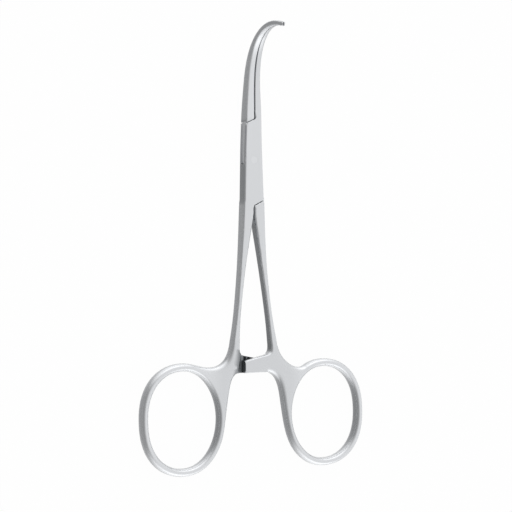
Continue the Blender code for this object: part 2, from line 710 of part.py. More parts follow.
def make_joint_pin(material):
    """The rivet, ground flush with both faces of the box."""
    shape = pin_cylinder(PIN_RADIUS, 0.0, BOX_THICKNESS)
    mesh = bpy.data.meshes.new("joint_pin")
    shape.to_mesh(mesh)
    shape.free()
    mesh.materials.append(material)
    mesh.shade_smooth()
    mesh.set_sharp_from_angle(angle=SMOOTH_ANGLE)
    pin = bpy.data.objects.new("joint_pin", mesh)
    bpy.context.collection.objects.link(pin)
    return pin


def rivet_hole_cutter():
    """The hole for the rivet, through both cheeks and the tenon."""
    shape = pin_cylinder(PIN_RADIUS + PIN_CLEARANCE, -BOX_THICKNESS, 2 * BOX_THICKNESS)
    return cutter_object("rivet_hole_cutter", shape)


def make_halves(material):
    """Both halves, milled to fit each other."""
    hole = ring_hole()
    female = plate_object("female_half", female_outline(), mirrored(hole), material)
    male = plate_object("male_half", male_outline(), hole, material)
    rivet_hole = rivet_hole_cutter()
    cut(female, slot_cutter())
    cut(female, rivet_hole)
    cut(female, ratchet_cutter("left_arm_cutter", 1))
    cut(male, cheek_pocket_cutter("upper_pocket_cutter", 1))
    cut(male, cheek_pocket_cutter("lower_pocket_cutter", -1))
    cut(male, rivet_hole)
    cut(male, ratchet_cutter("right_arm_cutter", -1))


def main():
    """Model the three pieces."""
    remove_everything()
    satin = steel("satin_steel", FORGED_ROUGHNESS)
    make_halves(satin)
    make_joint_pin(steel("rivet_steel", RIVET_ROUGHNESS))


main()
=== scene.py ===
"""Looks of the wire grasping forceps: the fine surface of both halves, the rivet, light and camera.

The instrument lies on the floor in the frame's own place: +Y runs towards the jaws, +Z is up, and
the pivot stands on the frame's origin. Both halves are modelled again from the same sizes as the
solids, with fine round edges, and their steel is a procedural satin finish with painted shade
mixed in.
"""
import logging
import math
from collections.abc import Callable
from dataclasses import dataclass, field
from enum import Enum

import bmesh
import bpy
import numpy as np
from mathutils import Matrix, Vector
from mathutils.geometry import delaunay_2d_cdt


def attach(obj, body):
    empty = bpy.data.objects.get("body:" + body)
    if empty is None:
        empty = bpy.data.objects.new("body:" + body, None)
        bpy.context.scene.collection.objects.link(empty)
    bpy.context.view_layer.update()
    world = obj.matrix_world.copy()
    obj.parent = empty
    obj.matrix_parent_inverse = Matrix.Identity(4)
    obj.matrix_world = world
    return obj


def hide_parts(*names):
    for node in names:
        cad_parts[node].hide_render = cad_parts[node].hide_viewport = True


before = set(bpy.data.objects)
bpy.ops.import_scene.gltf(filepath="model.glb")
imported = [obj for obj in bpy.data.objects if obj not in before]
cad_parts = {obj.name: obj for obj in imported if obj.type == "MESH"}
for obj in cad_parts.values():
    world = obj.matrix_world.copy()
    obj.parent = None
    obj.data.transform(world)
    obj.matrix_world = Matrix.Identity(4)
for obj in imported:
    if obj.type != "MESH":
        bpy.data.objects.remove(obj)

MM = 0.001
TINY = 1e-7
NO_RISE = 1e-12
GROUP = 500
CREASE = math.radians(32.0)
LOG = logging.getLogger("forceps")

Point = tuple[float, float]
EdgePoint = tuple[float, float, float, float]
Edge = tuple[float, float]
Span = tuple[float, float]


class Side(Enum):
    """A side of the instrument, as the sign of its X."""

    LEFT = -1
    RIGHT = 1


def ease(t: float) -> float:
    """Smooth step from 0 to 1."""
    t = min(max(t, 0.0), 1.0)
    return t * t * (3.0 - 2.0 * t)


def between(start: float, end: float, share: float) -> float:
    """The value at a share of the way from one value to another."""
    return start + (end - start) * share


def spread(start: float, end: float, count: int) -> list[float]:
    """Evenly spread values from the start on, without the end."""
    return [start + (end - start) * i / count for i in range(count)]


def even(size: float) -> Edge:
    """A rounding as deep as it is wide."""
    return (size, size)


def rounding(into: np.ndarray) -> np.ndarray:
    """Fall of a rounded edge, 1 at its foot and 0 where it meets the flat."""
    return 1.0 - np.sqrt(1.0 - (1.0 - into) ** 2)


def close_mesh(shape: bmesh.types.BMesh, name: str) -> bpy.types.Mesh:
    """Turn a shape into a mesh.

    Args:
        shape: The shape, which is freed.
        name: Name of the mesh.

    Returns:
        The new mesh.
    """
    mesh = bpy.data.meshes.new(name)
    shape.to_mesh(mesh)
    shape.free()
    return mesh


def stand(name: str, data: bpy.types.ID) -> bpy.types.Object:
    """Put an object into the scene.

    Args:
        name: Its name.
        data: Its mesh or camera.

    Returns:
        The new object.
    """
    made = bpy.data.objects.new(name, data)
    bpy.context.scene.collection.objects.link(made)
    return made


def wire(tree: bpy.types.NodeTree, node: bpy.types.Node, inputs: dict) -> None:
    """Set a node's inputs.

    Args:
        tree: The tree that holds the node.
        node: The node.
        inputs: For each input a value, or the output that feeds it.
    """
    for name, value in inputs.items():
        if isinstance(value, bpy.types.NodeSocket):
            tree.links.new(value, node.inputs[name])
        else:
            node.inputs[name].default_value = value


def grow(tree: bpy.types.NodeTree, kind: str, inputs: dict, **settings: str) -> bpy.types.NodeOutputs:
    """Add a node to a tree.

    Args:
        tree: The tree.
        kind: Type of the node, without the words that all shader nodes begin with.
        inputs: For each input a value, or the output that feeds it.
        **settings: The node's other settings.

    Returns:
        The new node's outputs.
    """
    node = tree.nodes.new("ShaderNode" + kind)
    for name, value in settings.items():
        setattr(node, name, value)
    wire(tree, node, inputs)
    return node.outputs


@dataclass(frozen=True)
class Fineness:
    """How closely the outlines and edges are divided."""

    straight: float = 0.9 * MM
    curved: float = 0.45 * MM
    jaw: float = 0.5 * MM
    fill: float = 0.9 * MM
    boss: float = math.radians(4.0)
    rows: int = 7
    bend: int = 800
    row_clear: float = 0.96
    row_least: float = 0.004 * MM
    fill_clear: float = 0.4
    line_clear: float = 0.02 * MM

    def inset(self, row: int) -> float:
        """How far a row lies inside the outline, as a share of the rounding's width."""
        return 1.0 - math.cos(row / self.rows * math.pi / 2)

    @staticmethod
    def chosen() -> "Fineness":
        """The full fineness.

        Returns:
            The fineness.
        """
        return Fineness()


FINE = Fineness.chosen()


class Run:
    """Stretches of an outline, each as points with the width and depth of the edge's rounding."""

    @staticmethod
    def straight(start: Point, end: Point, edge: Edge) -> list[EdgePoint]:
        """A straight stretch.

        Args:
            start: Its first point.
            end: Where it leads; this point isn't included.
            edge: Width and depth of the rounding.

        Returns:
            The points of the stretch.
        """
        first, last = np.array(start), np.array(end)
        count = max(1, math.ceil(np.linalg.norm(last - first) / FINE.straight))
        return [(*(first + (last - first) * i / count), *edge) for i in range(count)]

    @staticmethod
    def curve(start: Point, end: Point, ways: tuple[Point, Point], pulls: tuple[float, float],
              edges: tuple[Edge, ...], fine: float = 1.0) -> list[EdgePoint]:
        """A fillet or sweep between two stretches.

        Args:
            start: Its first point.
            end: Where it leads; this point isn't included.
            ways: The way it leaves the first point and the way it arrives.
            pulls: Lengths of its two handles as shares of the distance.
            edges: The rounding at its start, at any places between and at its end, evenly spread.
            fine: Share of the usual step.

        Returns:
            The points of the curve.
        """
        first, last = np.array(start), np.array(end)
        span = np.linalg.norm(last - first)
        out_handle = first + np.array(ways[0]) / np.linalg.norm(ways[0]) * span * pulls[0]
        in_handle = last - np.array(ways[1]) / np.linalg.norm(ways[1]) * span * pulls[1]
        places, sizes = np.linspace(0.0, 1.0, len(edges)), np.array(edges)
        count = max(3, math.ceil(span / (FINE.curved * fine)))
        run = []
        for i in range(count):
            t = i / count
            u = 1.0 - t
            place = u**3 * first + 3 * u * u * t * out_handle + 3 * u * t * t * in_handle + t**3 * last
            run.append((*place, *(np.interp(t, places, sizes[:, part]) for part in (0, 1))))
        return run

    @staticmethod
    def mirrored(run: list[EdgePoint]) -> list[EdgePoint]:
        """The same stretch on the other side of the instrument, walked the other way."""
        return [(-x, y, width, depth) for x, y, width, depth in reversed(run)]


@dataclass(frozen=True)
class BoxLock:
    """The box of the female half, the tenon of the male half and the seams between them."""

    thickness: float = 3.7 * MM
    top: float = 12.4 * MM
    bottom: float = 13.7 * MM
    half_width_at_pivot: float = 3.0 * MM
    flare: float = 0.028
    edge: float = 0.45 * MM
    top_seam_angle: float = math.radians(24.0)
    bottom_seam_angle: float = math.radians(27.5)
    side_bottom: float = 12.1 * MM
    seam_gap: float = 0.26 * MM
    seam_edge: float = 0.05 * MM
    seam_break: float = 0.24 * MM
    bottom_seam_offset: float = 0.1 * MM
    tenon_thickness: float = 1.4 * MM
    boss_radius: float = 2.84 * MM
    side_clearance: float = 0.12 * MM
    face_clearance: float = 0.02 * MM
    pin_radius: float = 1.1 * MM
    pin_gap: float = 0.006 * MM
    pin_sides: int = 96
    open_angle: float = math.radians(50.0)
    slot_reach: float = 9.0 * MM
    pocket_reach: float = 12.0 * MM

    def half_width(self, y: float) -> float:
        """Half of the box's width, which flares a little towards the shanks."""
        return self.half_width_at_pivot - self.flare * y

    def seam_ends(self, jaw_corner: float) -> dict[str, Point]:
        """Where the two diagonal seams meet the box's sides and its inner corners.

        Args:
            jaw_corner: X of the female jaw's grasping face at its root.

        Returns:
            The four points by name.
        """
        rise, fall = math.tan(self.top_seam_angle), math.tan(self.bottom_seam_angle)
        top_y = (self.top - (self.half_width_at_pivot + jaw_corner) * rise) / (1.0 - self.flare * rise)
        bottom_y = -self.bottom + (self.half_width_at_pivot + self.bottom_seam_offset) * fall
        bottom_y /= 1.0 + self.flare * fall
        return {
            "top_corner": (jaw_corner, self.top),
            "bottom_corner": (-self.bottom_seam_offset, -self.bottom),
            "top_side": (-self.half_width(top_y), top_y),
            "bottom_side": (self.half_width(bottom_y), bottom_y),
        }

    def on_boss(self, angle: float, clearance: float = 0.0) -> Point:
        """A point round the tenon's boss."""
        radius = self.boss_radius + clearance
        return (radius * math.cos(angle), radius * math.sin(angle))

    def touch_angle(self, place: Point) -> float:
        """Angle on the boss where the line from a point touches it, anticlockwise of the point."""
        return math.atan2(place[1], place[0]) + math.acos(self.boss_radius / math.hypot(*place))

    def boss_run(self, angle_from: float, angle_to: float) -> list[EdgePoint]:
        """Points round the boss, without the last.

        Args:
            angle_from: Angle of the first point.
            angle_to: Angle at which the stretch ends.

        Returns:
            The points of the stretch.
        """
        count = max(2, math.ceil(abs(angle_to - angle_from) / FINE.boss))
        angles = spread(angle_from, angle_to, count)
        return [(*self.on_boss(angle), *even(self.seam_edge)) for angle in angles]


@dataclass(frozen=True)
class Jaws:
    """The pair of curved jaws, measured along their curve from the box's top corner."""

    box: BoxLock
    length: float = 40.03 * MM
    curve_angle: float = math.radians(105.1)
    curve_start: float = 2.654
    curve_end: float = 1.652
    lean: float = 0.37 * MM
    lean_from: float = 1.0 * MM
    lean_until: float = 24.0 * MM
    tip_width: float = 0.75 * MM
    tip_thickness: float = 1.2 * MM
    tip_corner: float = 0.62 * MM
    tip_round: float = 0.27 * MM
    tip_turns: tuple[float, ...] = (80.0, 65.0, 50.0, 35.0, 20.0, 8.0)
    width_taper: float = 1.46
    thickness_taper: float = 1.026
    back_round: float = 0.88 * MM
    back_depth: float = 0.28
    back_round_by: float = 0.3
    back_round_limit: float = 0.6
    gap_root: float = 0.42 * MM
    gap_tip: float = 0.14 * MM
    gap_closes_from: float = 0.42
    gap_closes_by: float = 0.66
    seam_offset: float = 0.22 * MM
    pitch: float = 0.62 * MM
    depth: float = 0.16 * MM
    serration_start: float = 2.4 * MM
    serration_end_margin: float = 0.7 * MM

    @property
    def tip(self) -> float:
        """Place of the tip along the instrument before the jaws are bent."""
        return self.box.top + self.length

    def share(self, s: float) -> float:
        """Place along the jaw: 0 at the box, 1 at the tip."""
        return min(max((s - self.box.top) / self.length, 0.0), 1.0)

    def back(self, s: float) -> float:
        """Distance of the rounded back from the plane through the tip."""
        root = self.box.half_width(self.box.top)
        return between(root, self.tip_width, self.share(s) ** self.width_taper)

    def seam(self, s: float) -> float:
        """Middle of the gap between the jaws."""
        return self.seam_offset * (1.0 - self.share(s))

    def gap(self, s: float) -> float:
        """Gap between the grasping faces."""
        closing = ease((self.share(s) - self.gap_closes_from) / (self.gap_closes_by - self.gap_closes_from))
        return between(self.gap_root, self.gap_tip, closing)

    def thickness(self, s: float) -> float:
        """Thickness of a jaw."""
        return between(self.box.thickness, self.tip_thickness, self.share(s) ** self.thickness_taper)

    def back_edge(self, s: float) -> Edge:
        """Rounding of the back, which grows from the box's edge and shrinks with the jaw.

        Args:
            s: Length along the instrument before the jaws are bent.

        Returns:
            Width and depth of the rounding.
        """
        grown = ease(self.share(s) / self.back_round_by)
        width = between(self.box.edge, self.back_round, grown)
        depth = between(self.box.edge, self.back_depth * self.thickness(s), grown)
        return (min(width, self.back_round_limit * (self.back(s) - self.seam(s))), depth)

    def face_run(self, side: Side) -> list[EdgePoint]:
        """The serrated grasping face of one jaw, from its root to its tip.

        Args:
            side: The jaw's side.

        Returns:
            The points of the face.
        """
        crisp = even(self.box.seam_edge)
        first = self.box.top + self.serration_start
        count = int((self.tip - self.serration_end_margin - first) / self.pitch)

        def face(s: float, wave: float) -> EdgePoint:
            """A point of the face, pushed right by a share of the serration's depth."""
            return (self.seam(s) + side.value * self.gap(s) / 2 + self.depth * wave, s, *crisp)

        start = self.box.top + (self.box.seam_gap if side is Side.LEFT else 0.0)
        run = [face(start, 0.0), face(first - self.pitch / 2, 0.0)]
        for tooth in range(count):
            s = first + tooth * self.pitch
            run += [face(s, -0.5), face(s + self.pitch / 2, 0.5)]
        run.append(face(first + count * self.pitch, -0.5))
        run.append(face(self.tip - self.tip_corner / 3, 0.0))
        return run

    def back_run(self, side: Side) -> list[EdgePoint]:
        """The rounded tip and the back of one jaw, from the tip down to the box.

        Args:
            side: The jaw's side.

        Returns:
            The points of the tip and the back.
        """
        corner = even(self.tip_round)
        run = []
        for turn in map(math.radians, self.tip_turns):
            x = self.back(self.tip) - self.tip_corner * (1.0 - math.cos(turn))
            run.append((side.value * x, self.tip - self.tip_corner * (1.0 - math.sin(turn)), *corner))
        count = math.ceil((self.length - self.tip_corner) / FINE.jaw)
        for i in range(1, count):
            s = self.tip - self.tip_corner - (self.length - self.tip_corner) * i / count
            run.append((side.value * self.back(s), s, *self.back_edge(s)))
        return run

    def sway(self, y: float) -> float:
        """How far the box's upper end and the jaws lean to the right."""
        return self.lean * ease((y - self.lean_from) / (self.lean_until - self.lean_from))

    def bend_table(self) -> tuple[np.ndarray, np.ndarray, np.ndarray, np.ndarray]:
        """The middle line of the bent jaws: length along it, then Y, Z and slope.

        Returns:
            Four rows of values.
        """
        along = np.linspace(0.0, self.length, FINE.bend)
        bent = (along / self.length) ** self.curve_start
        slopes = self.curve_angle * (1.0 - (1.0 - bent) ** self.curve_end)
        mean = (slopes[1:] + slopes[:-1]) / 2
        y = self.box.top + np.concatenate(([0.0], np.cumsum(np.cos(mean)) * along[1]))
        z = np.concatenate(([0.0], np.cumsum(np.sin(mean)) * along[1]))
        return self.box.top + along, y, z, slopes

    def bend(self, places: np.ndarray) -> np.ndarray:
        """Carry points of the straight jaw onto the curved one and lift them to the middle plane.

        Args:
            places: X, length along the jaw and height over the middle plane, one row a point.

        Returns:
            The points in the frame.
        """
        along, ys, zs, slopes = self.bend_table()
        s = places[:, 1]
        slope = np.interp(s, along, slopes, left=0.0)
        over = np.maximum(s - along[-1], 0.0)
        y = np.where(s <= along[0], s, np.interp(s, along, ys)) + over * np.cos(slope)
        z = np.where(s <= along[0], 0.0, np.interp(s, along, zs)) + over * np.sin(slope)
        y = y - places[:, 2] * np.sin(slope)
        z = z + places[:, 2] * np.cos(slope)
        x = places[:, 0] + np.array([self.sway(way) for way in s])
        return np.stack((x, y, z + self.box.thickness / 2), axis=1)


@dataclass(frozen=True)
class Handle:
    """A shank, its ratchet arm and its finger ring, drawn on the right side."""

    box: BoxLock
    shank_thickness: float = 2.9 * MM
    thin_from: float = 0.55
    thin_until: float = 0.85
    root_half_width: float = 2.05 * MM
    waist_half_width: float = 0.76 * MM
    foot_half_width: float = 1.05 * MM
    root_x: float = 1.59 * MM
    foot_x: float = 6.45 * MM
    foot_y: float = 54.5 * MM
    bow: float = 0.31 * MM
    waist_at: float = 0.75
    taper: float = 1.8
    shank_gap: float = 0.18 * MM
    shank_edge: Edge = (0.55 * MM, 0.72 * MM)
    ring_x: float = 24.5 * MM
    ring_y: float = 77.49 * MM
    ring_width: float = 28.05 * MM
    ring_height: float = 33.0 * MM
    ring_fullness: float = 2.125
    ring_outer_fullness: float = 0.125
    ring_bar: float = 2.36 * MM
    ring_thickness: float = 3.7 * MM
    ring_round_share: float = 0.47
    ring_tilt: float = math.radians(0.9)
    ring_rim_height: float = 0.6 * MM
    ring_step: float = math.radians(5.0)
    outer_web_angle: float = math.radians(116.5)
    outer_web_pulls: tuple[float, float] = (0.55, 0.246)
    inner_web_angle: float = math.radians(-134.9)
    inner_web_pulls: tuple[float, float] = (0.409, 0.329)
    inner_web_x: float = 3.57 * MM
    arm_web_pulls: tuple[float, float] = (0.56, 0.7)
    arm_web_fine: float = 0.5
    web_edge: Edge = (1.25 * MM, 1.1 * MM)
    broad_edge: Edge = (2.2 * MM, 1.3 * MM)
    low_edge: Edge = (1.8 * MM, 1.1 * MM)
    arm_top: float = 59.25 * MM
    arm_end_top: float = 60.5 * MM
    arm_bottom: float = 64.2 * MM
    arm_end: float = 3.74 * MM
    arm_root: float = 2.4 * MM
    arm_edge: float = 0.18 * MM
    arm_top_edge: Edge = even(0.6 * MM)
    broad_root: Edge = (0.95 * MM, 0.85 * MM)
    arm_gap: float = 0.12 * MM
    relief_start: float = 7.1 * MM
    relief_foot: float = 4.6 * MM
    relief_power: float = 3.5
    relief_points: tuple[float, float, int] = (0.15, 0.95, 12)
    relief_tilt: float = math.radians(9.0)
    tooth_count: int = 6
    tooth_pitch: float = 1.2 * MM
    tooth_depth: float = 0.55 * MM
    tooth_land: float = 0.2 * MM
    cut_above: float = 2.2 * MM
    cut_below: float = 2.6 * MM

    def thickness(self, y: float) -> float:
        """Thickness of the shank, web and ring at a place along the instrument.

        Args:
            y: The place.

        Returns:
            The thickness.
        """
        if y > -self.box.bottom:
            return self.box.thickness
        thin_by = between(self.box.bottom, self.foot_y, self.thin_from)
        thick_from = between(self.box.bottom, self.foot_y, self.thin_until)
        if -y < thin_by:
            share = ease((-y - self.box.bottom) / (thin_by - self.box.bottom))
            return between(self.box.thickness, self.shank_thickness, share)
        share = ease((-y - thick_from) / (self.arm_bottom - thick_from))
        return between(self.shank_thickness, self.ring_thickness, share)

    def shank_point(self, t: float, side: Side) -> Point:
        """A point on the shank's edge, with t 0 at its root and 1 at its foot.

        Args:
            t: Share of the way down.
            side: The shank's edge that is meant.

        Returns:
            The point.
        """
        y = -between(self.box.bottom, self.foot_y, t)
        middle = between(self.root_x, self.foot_x, t) - self.bow * math.sin(math.pi * t)
        if t < self.waist_at:
            share = (1.0 - t / self.waist_at) ** self.taper
            half = between(self.waist_half_width, self.root_half_width, share)
        else:
            share = ((t - self.waist_at) / (1.0 - self.waist_at)) ** 2
            half = between(self.waist_half_width, self.foot_half_width, share)
        return (middle + half, y) if side is Side.RIGHT else (max(middle - half, self.shank_gap / 2), y)

    def shank_run(self, side: Side, t_from: float, t_to: float) -> list[EdgePoint]:
        """Points along one edge of the shank, without the last.

        Args:
            side: The shank's edge that is meant.
            t_from: Share of the way down at the first point.
            t_to: Share at which the stretch ends.

        Returns:
            The points of the stretch.
        """
        reach = (self.foot_y - self.box.bottom) * abs(t_to - t_from)
        count = max(4, math.ceil(reach / FINE.straight))
        return [(*self.shank_point(t, side), *self.shank_edge) for t in spread(t_from, t_to, count)]

    def shank_foot(self, side: Side) -> tuple[Point, np.ndarray]:
        """The foot of the shank's edge and the way down along it."""
        foot = self.shank_point(1.0, side)
        return foot, np.subtract(foot, self.shank_point(self.thin_until, side))

    def ring_point(self, angle: float, inset: float = 0.0) -> np.ndarray:
        """A point on the ring's oval, which is a little fuller on its outer side.

        Args:
            angle: Angle round the ring's centre, anticlockwise from +X.
            inset: How far the oval lies inside the ring's outer one.

        Returns:
            The point.
        """
        cosine, sine = math.cos(angle), math.sin(angle)
        power = 2.0 / (self.ring_fullness + self.ring_outer_fullness * cosine)
        x = (self.ring_width / 2 - inset) * math.copysign(abs(cosine) ** power, cosine)
        y = (self.ring_height / 2 - inset) * math.copysign(abs(sine) ** power, sine)
        turn = Matrix.Rotation(self.ring_tilt, 2)
        return np.array((self.ring_x, -self.ring_y)) + np.array(turn @ Vector((x, y)))

    def ring_way(self, angle: float) -> np.ndarray:
        """The way along the ring's outer edge at an angle, walked clockwise."""
        return self.ring_point(angle - self.ring_step) - self.ring_point(angle + self.ring_step)

    def ring_edge(self) -> Edge:
        """Rounding of the ring's bar: nearly an oval section."""
        return (self.ring_bar * self.ring_round_share, (self.ring_thickness - self.ring_rim_height) / 2)

    def ring_arc(self, angle_from: float, angle_to: float, inset: float = 0.0) -> list[EdgePoint]:
        """Points along the ring's oval, without the last.

        Args:
            angle_from: Angle of the first point.
            angle_to: Angle at which the stretch ends.
            inset: How far the oval lies inside the ring's outer one.

        Returns:
            The points of the stretch.
        """
        length = abs(angle_to - angle_from) * (self.ring_width + self.ring_height) / 4
        count = max(8, math.ceil(length / FINE.curved))
        angles = spread(angle_from, angle_to, count)
        return [(*self.ring_point(angle, inset), *self.ring_edge()) for angle in angles]

    def hole(self) -> list[EdgePoint]:
        """The finger hole, anticlockwise."""
        return self.ring_arc(0.0, 2 * math.pi, self.ring_bar)

    def outline(self) -> list[EdgePoint]:
        """The handle from the shank's outer edge, round ring and arm, to its inner edge, clockwise.

        Returns:
            The points of the handle.
        """
        crisp = even(self.arm_edge)
        outer_foot, outer_way = self.shank_foot(Side.RIGHT)
        inner_foot, inner_way = self.shank_foot(Side.LEFT)
        onto_ring = self.ring_point(self.outer_web_angle)
        off_ring = self.ring_point(self.inner_web_angle)
        lower_root = (self.inner_web_x, -self.arm_bottom)
        end_low, end_high = (-self.arm_end, -self.arm_bottom), (-self.arm_end, -self.arm_end_top)
        upper_root = (self.arm_root, -self.arm_top)
        run = self.shank_run(Side.RIGHT, 0.0, 1.0)
        run += Run.curve(outer_foot, onto_ring, (outer_way, self.ring_way(self.outer_web_angle)),
                         self.outer_web_pulls, (self.shank_edge, *[self.broad_edge] * 3, self.ring_edge()))
        run += self.ring_arc(self.outer_web_angle, self.inner_web_angle)
        run += Run.curve(off_ring, lower_root, (self.ring_way(self.inner_web_angle), (-1.0, 0.0)),
                         self.inner_web_pulls,
                         (self.ring_edge(), self.ring_edge(), self.web_edge, self.low_edge, self.low_edge))
        run += Run.straight(lower_root, end_low, crisp)
        run += Run.straight(end_low, end_high, crisp)
        run += Run.straight(end_high, upper_root, self.arm_top_edge)
        run += Run.curve(upper_root, inner_foot, (np.subtract(upper_root, end_high), -inner_way),
                         self.arm_web_pulls, (self.arm_top_edge, self.broad_root, self.shank_edge),
                         self.arm_web_fine)
        run += self.shank_run(Side.LEFT, 1.0, 0.0)
        return run

    def ratchet_profile(self, side: Side) -> list[Point]:
        """Profile in X and Z that mills one arm to half its thickness, with its teeth.

        Args:
            side: LEFT cuts the left arm from above, RIGHT the right arm from below.

        Returns:
            The profile's corners.
        """
        face = -self.arm_gap / 2
        surface = self.ring_thickness / 2
        outer = self.box.thickness
        run, drop = self.relief_start - self.relief_foot, surface - face
        profile = [(-self.relief_start, surface + TINY)]
        for share in np.linspace(*self.relief_points):
            profile.append((-self.relief_start + run * share, surface - drop * share**self.relief_power))
        profile.append((-self.relief_foot, face))
        for tooth in range(self.tooth_count):
            end = self.arm_end - self.tooth_land - (self.tooth_count - tooth - 1) * self.tooth_pitch
            profile.append((end - self.tooth_pitch + self.tooth_land / 2, face))
            profile.append((end - self.tooth_land, face - self.tooth_depth))
            profile.append((end, face))
        far = self.arm_end + self.relief_start
        profile += [(far, face), (far, outer), (-self.relief_start, outer)]
        sign = -side.value
        return [(sign * x, self.box.thickness / 2 + sign * z) for x, z in profile]


class Outlines:
    """Closed outlines in the plan: what lies inside them, how far off and how round their edges are."""

    def __init__(self, loops: list[list[EdgePoint]]) -> None:
        """Keep the outlines.

        Args:
            loops: The outer outline, anticlockwise, and any hole, clockwise.
        """
        self.loops = [np.array(loop) for loop in loops]
        self.starts = np.concatenate([loop[:, :2] for loop in self.loops])
        self.ends = np.concatenate([np.roll(loop[:, :2], -1, axis=0) for loop in self.loops])
        self.edges = np.concatenate([loop[:, 2:] for loop in self.loops])
        self.edges_end = np.concatenate([np.roll(loop[:, 2:], -1, axis=0) for loop in self.loops])
        self.inward = np.concatenate([self._inward(loop[:, :2]) for loop in self.loops])

    @staticmethod
    def _inward(loop: np.ndarray) -> np.ndarray:
        """Unit vectors into the material at each point.

        Args:
            loop: Points of a closed outline.

        Returns:
            One vector a point.
        """
        ahead = np.roll(loop, -1, axis=0) - loop
        ahead /= np.maximum(np.linalg.norm(ahead, axis=1, keepdims=True), TINY)
        sums = ahead + np.roll(ahead, 1, axis=0)
        normals = np.stack((-sums[:, 1], sums[:, 0]), axis=1)
        return normals / np.maximum(np.linalg.norm(normals, axis=1, keepdims=True), TINY)

    @staticmethod
    def _groups(places: np.ndarray) -> list[np.ndarray]:
        """The places in groups that are small enough to work on at once."""
        return np.array_split(places, max(1, len(places) // GROUP))

    def constraints(self) -> list[tuple[int, int]]:
        """Index pairs of the outlines' segments.

        Returns:
            The pairs, outline by outline.
        """
        pairs, base = [], 0
        for loop in self.loops:
            pairs += [(base + i, base + (i + 1) % len(loop)) for i in range(len(loop))]
            base += len(loop)
        return pairs

    def distances(self, places: np.ndarray) -> tuple[np.ndarray, np.ndarray]:
        """Distance of every place from every segment, and the share along the segment.

        Args:
            places: Places in the plan.

        Returns:
            Distances and shares, one row a place.
        """
        ways = self.ends - self.starts
        lengths = np.maximum((ways**2).sum(axis=1), TINY**2)
        offsets = places[:, None, :] - self.starts[None, :, :]
        shares = np.clip((offsets * ways[None]).sum(axis=2) / lengths[None], 0.0, 1.0)
        return np.linalg.norm(offsets - shares[..., None] * ways[None], axis=2), shares

    def nearest(self, places: np.ndarray) -> np.ndarray:
        """Distance of every place from the outlines."""
        return np.concatenate([self.distances(part)[0].min(axis=1) for part in self._groups(places)])

    def inside(self, places: np.ndarray) -> np.ndarray:
        """Whether each place lies in the material.

        Args:
            places: Places in the plan.

        Returns:
            One truth a place.
        """
        rise = self.ends[:, 1] - self.starts[:, 1]
        rise = np.where(np.abs(rise) < NO_RISE, NO_RISE, rise)
        found = []
        for part in self._groups(places):
            x, y = part[:, :1], part[:, 1:]
            crosses = (self.starts[None, :, 1] > y) != (self.ends[None, :, 1] > y)
            at = self.starts[None, :, 0] + (y - self.starts[None, :, 1]) * (
                self.ends[:, 0] - self.starts[:, 0]) / rise
            found.append((crosses & (x < at)).sum(axis=1) % 2 == 1)
        return np.concatenate(found)

    def drops(self, places: np.ndarray) -> tuple[np.ndarray, np.ndarray]:
        """How far the face falls towards its edges.

        Args:
            places: Places in the plan.

        Returns:
            The fall of the face at each place, and how far into the rounding the place lies, 1 at
            the outline and 0 on the flat.
        """
        falls, rims = [], []
        for part in self._groups(places):
            distances, shares = self.distances(part)
            widths, depths = (between(self.edges[:, i], self.edges_end[:, i], shares) for i in (0, 1))
            into = np.clip(distances / widths, 0.0, 1.0)
            falls.append((depths * rounding(into)).max(axis=1))
            rims.append(1.0 - into.min(axis=1))
        return np.concatenate(falls), np.concatenate(rims)


@dataclass(frozen=True)
class Shoulder:
    """A rounded edge along a line across the body, below which the material stays."""

    start: Point
    end: Point
    size: float

    def depth_into(self, places: np.ndarray) -> np.ndarray:
        """How far each place lies below the line.

        Args:
            places: Places in the plan.

        Returns:
            One depth a place.
        """
        way = np.subtract(self.end, self.start)
        way = way / np.linalg.norm(way)
        offsets = places - np.array(self.start)
        return offsets[:, 0] * way[1] - offsets[:, 1] * way[0]

    def rows(self) -> np.ndarray:
        """Points in rows along the rounding.

        Returns:
            The points.
        """
        start, way = np.array(self.start), np.subtract(self.end, self.start)
        below = np.array((way[1], -way[0])) / np.linalg.norm(way)
        shares = np.linspace(0.0, 1.0, max(3, math.ceil(np.linalg.norm(way) / FINE.jaw)))
        insets = [self.size * FINE.inset(row) for row in range(FINE.rows + 1)]
        return np.array([start + way * share + below * inset for inset in insets for share in shares])

    def drops(self, places: np.ndarray) -> tuple[np.ndarray, np.ndarray]:
        """Fall of the face at each place, and how far into the rounding the place lies."""
        into = np.clip(self.depth_into(places) / self.size, 0.0, 1.0)
        return self.size * rounding(into), 1.0 - into


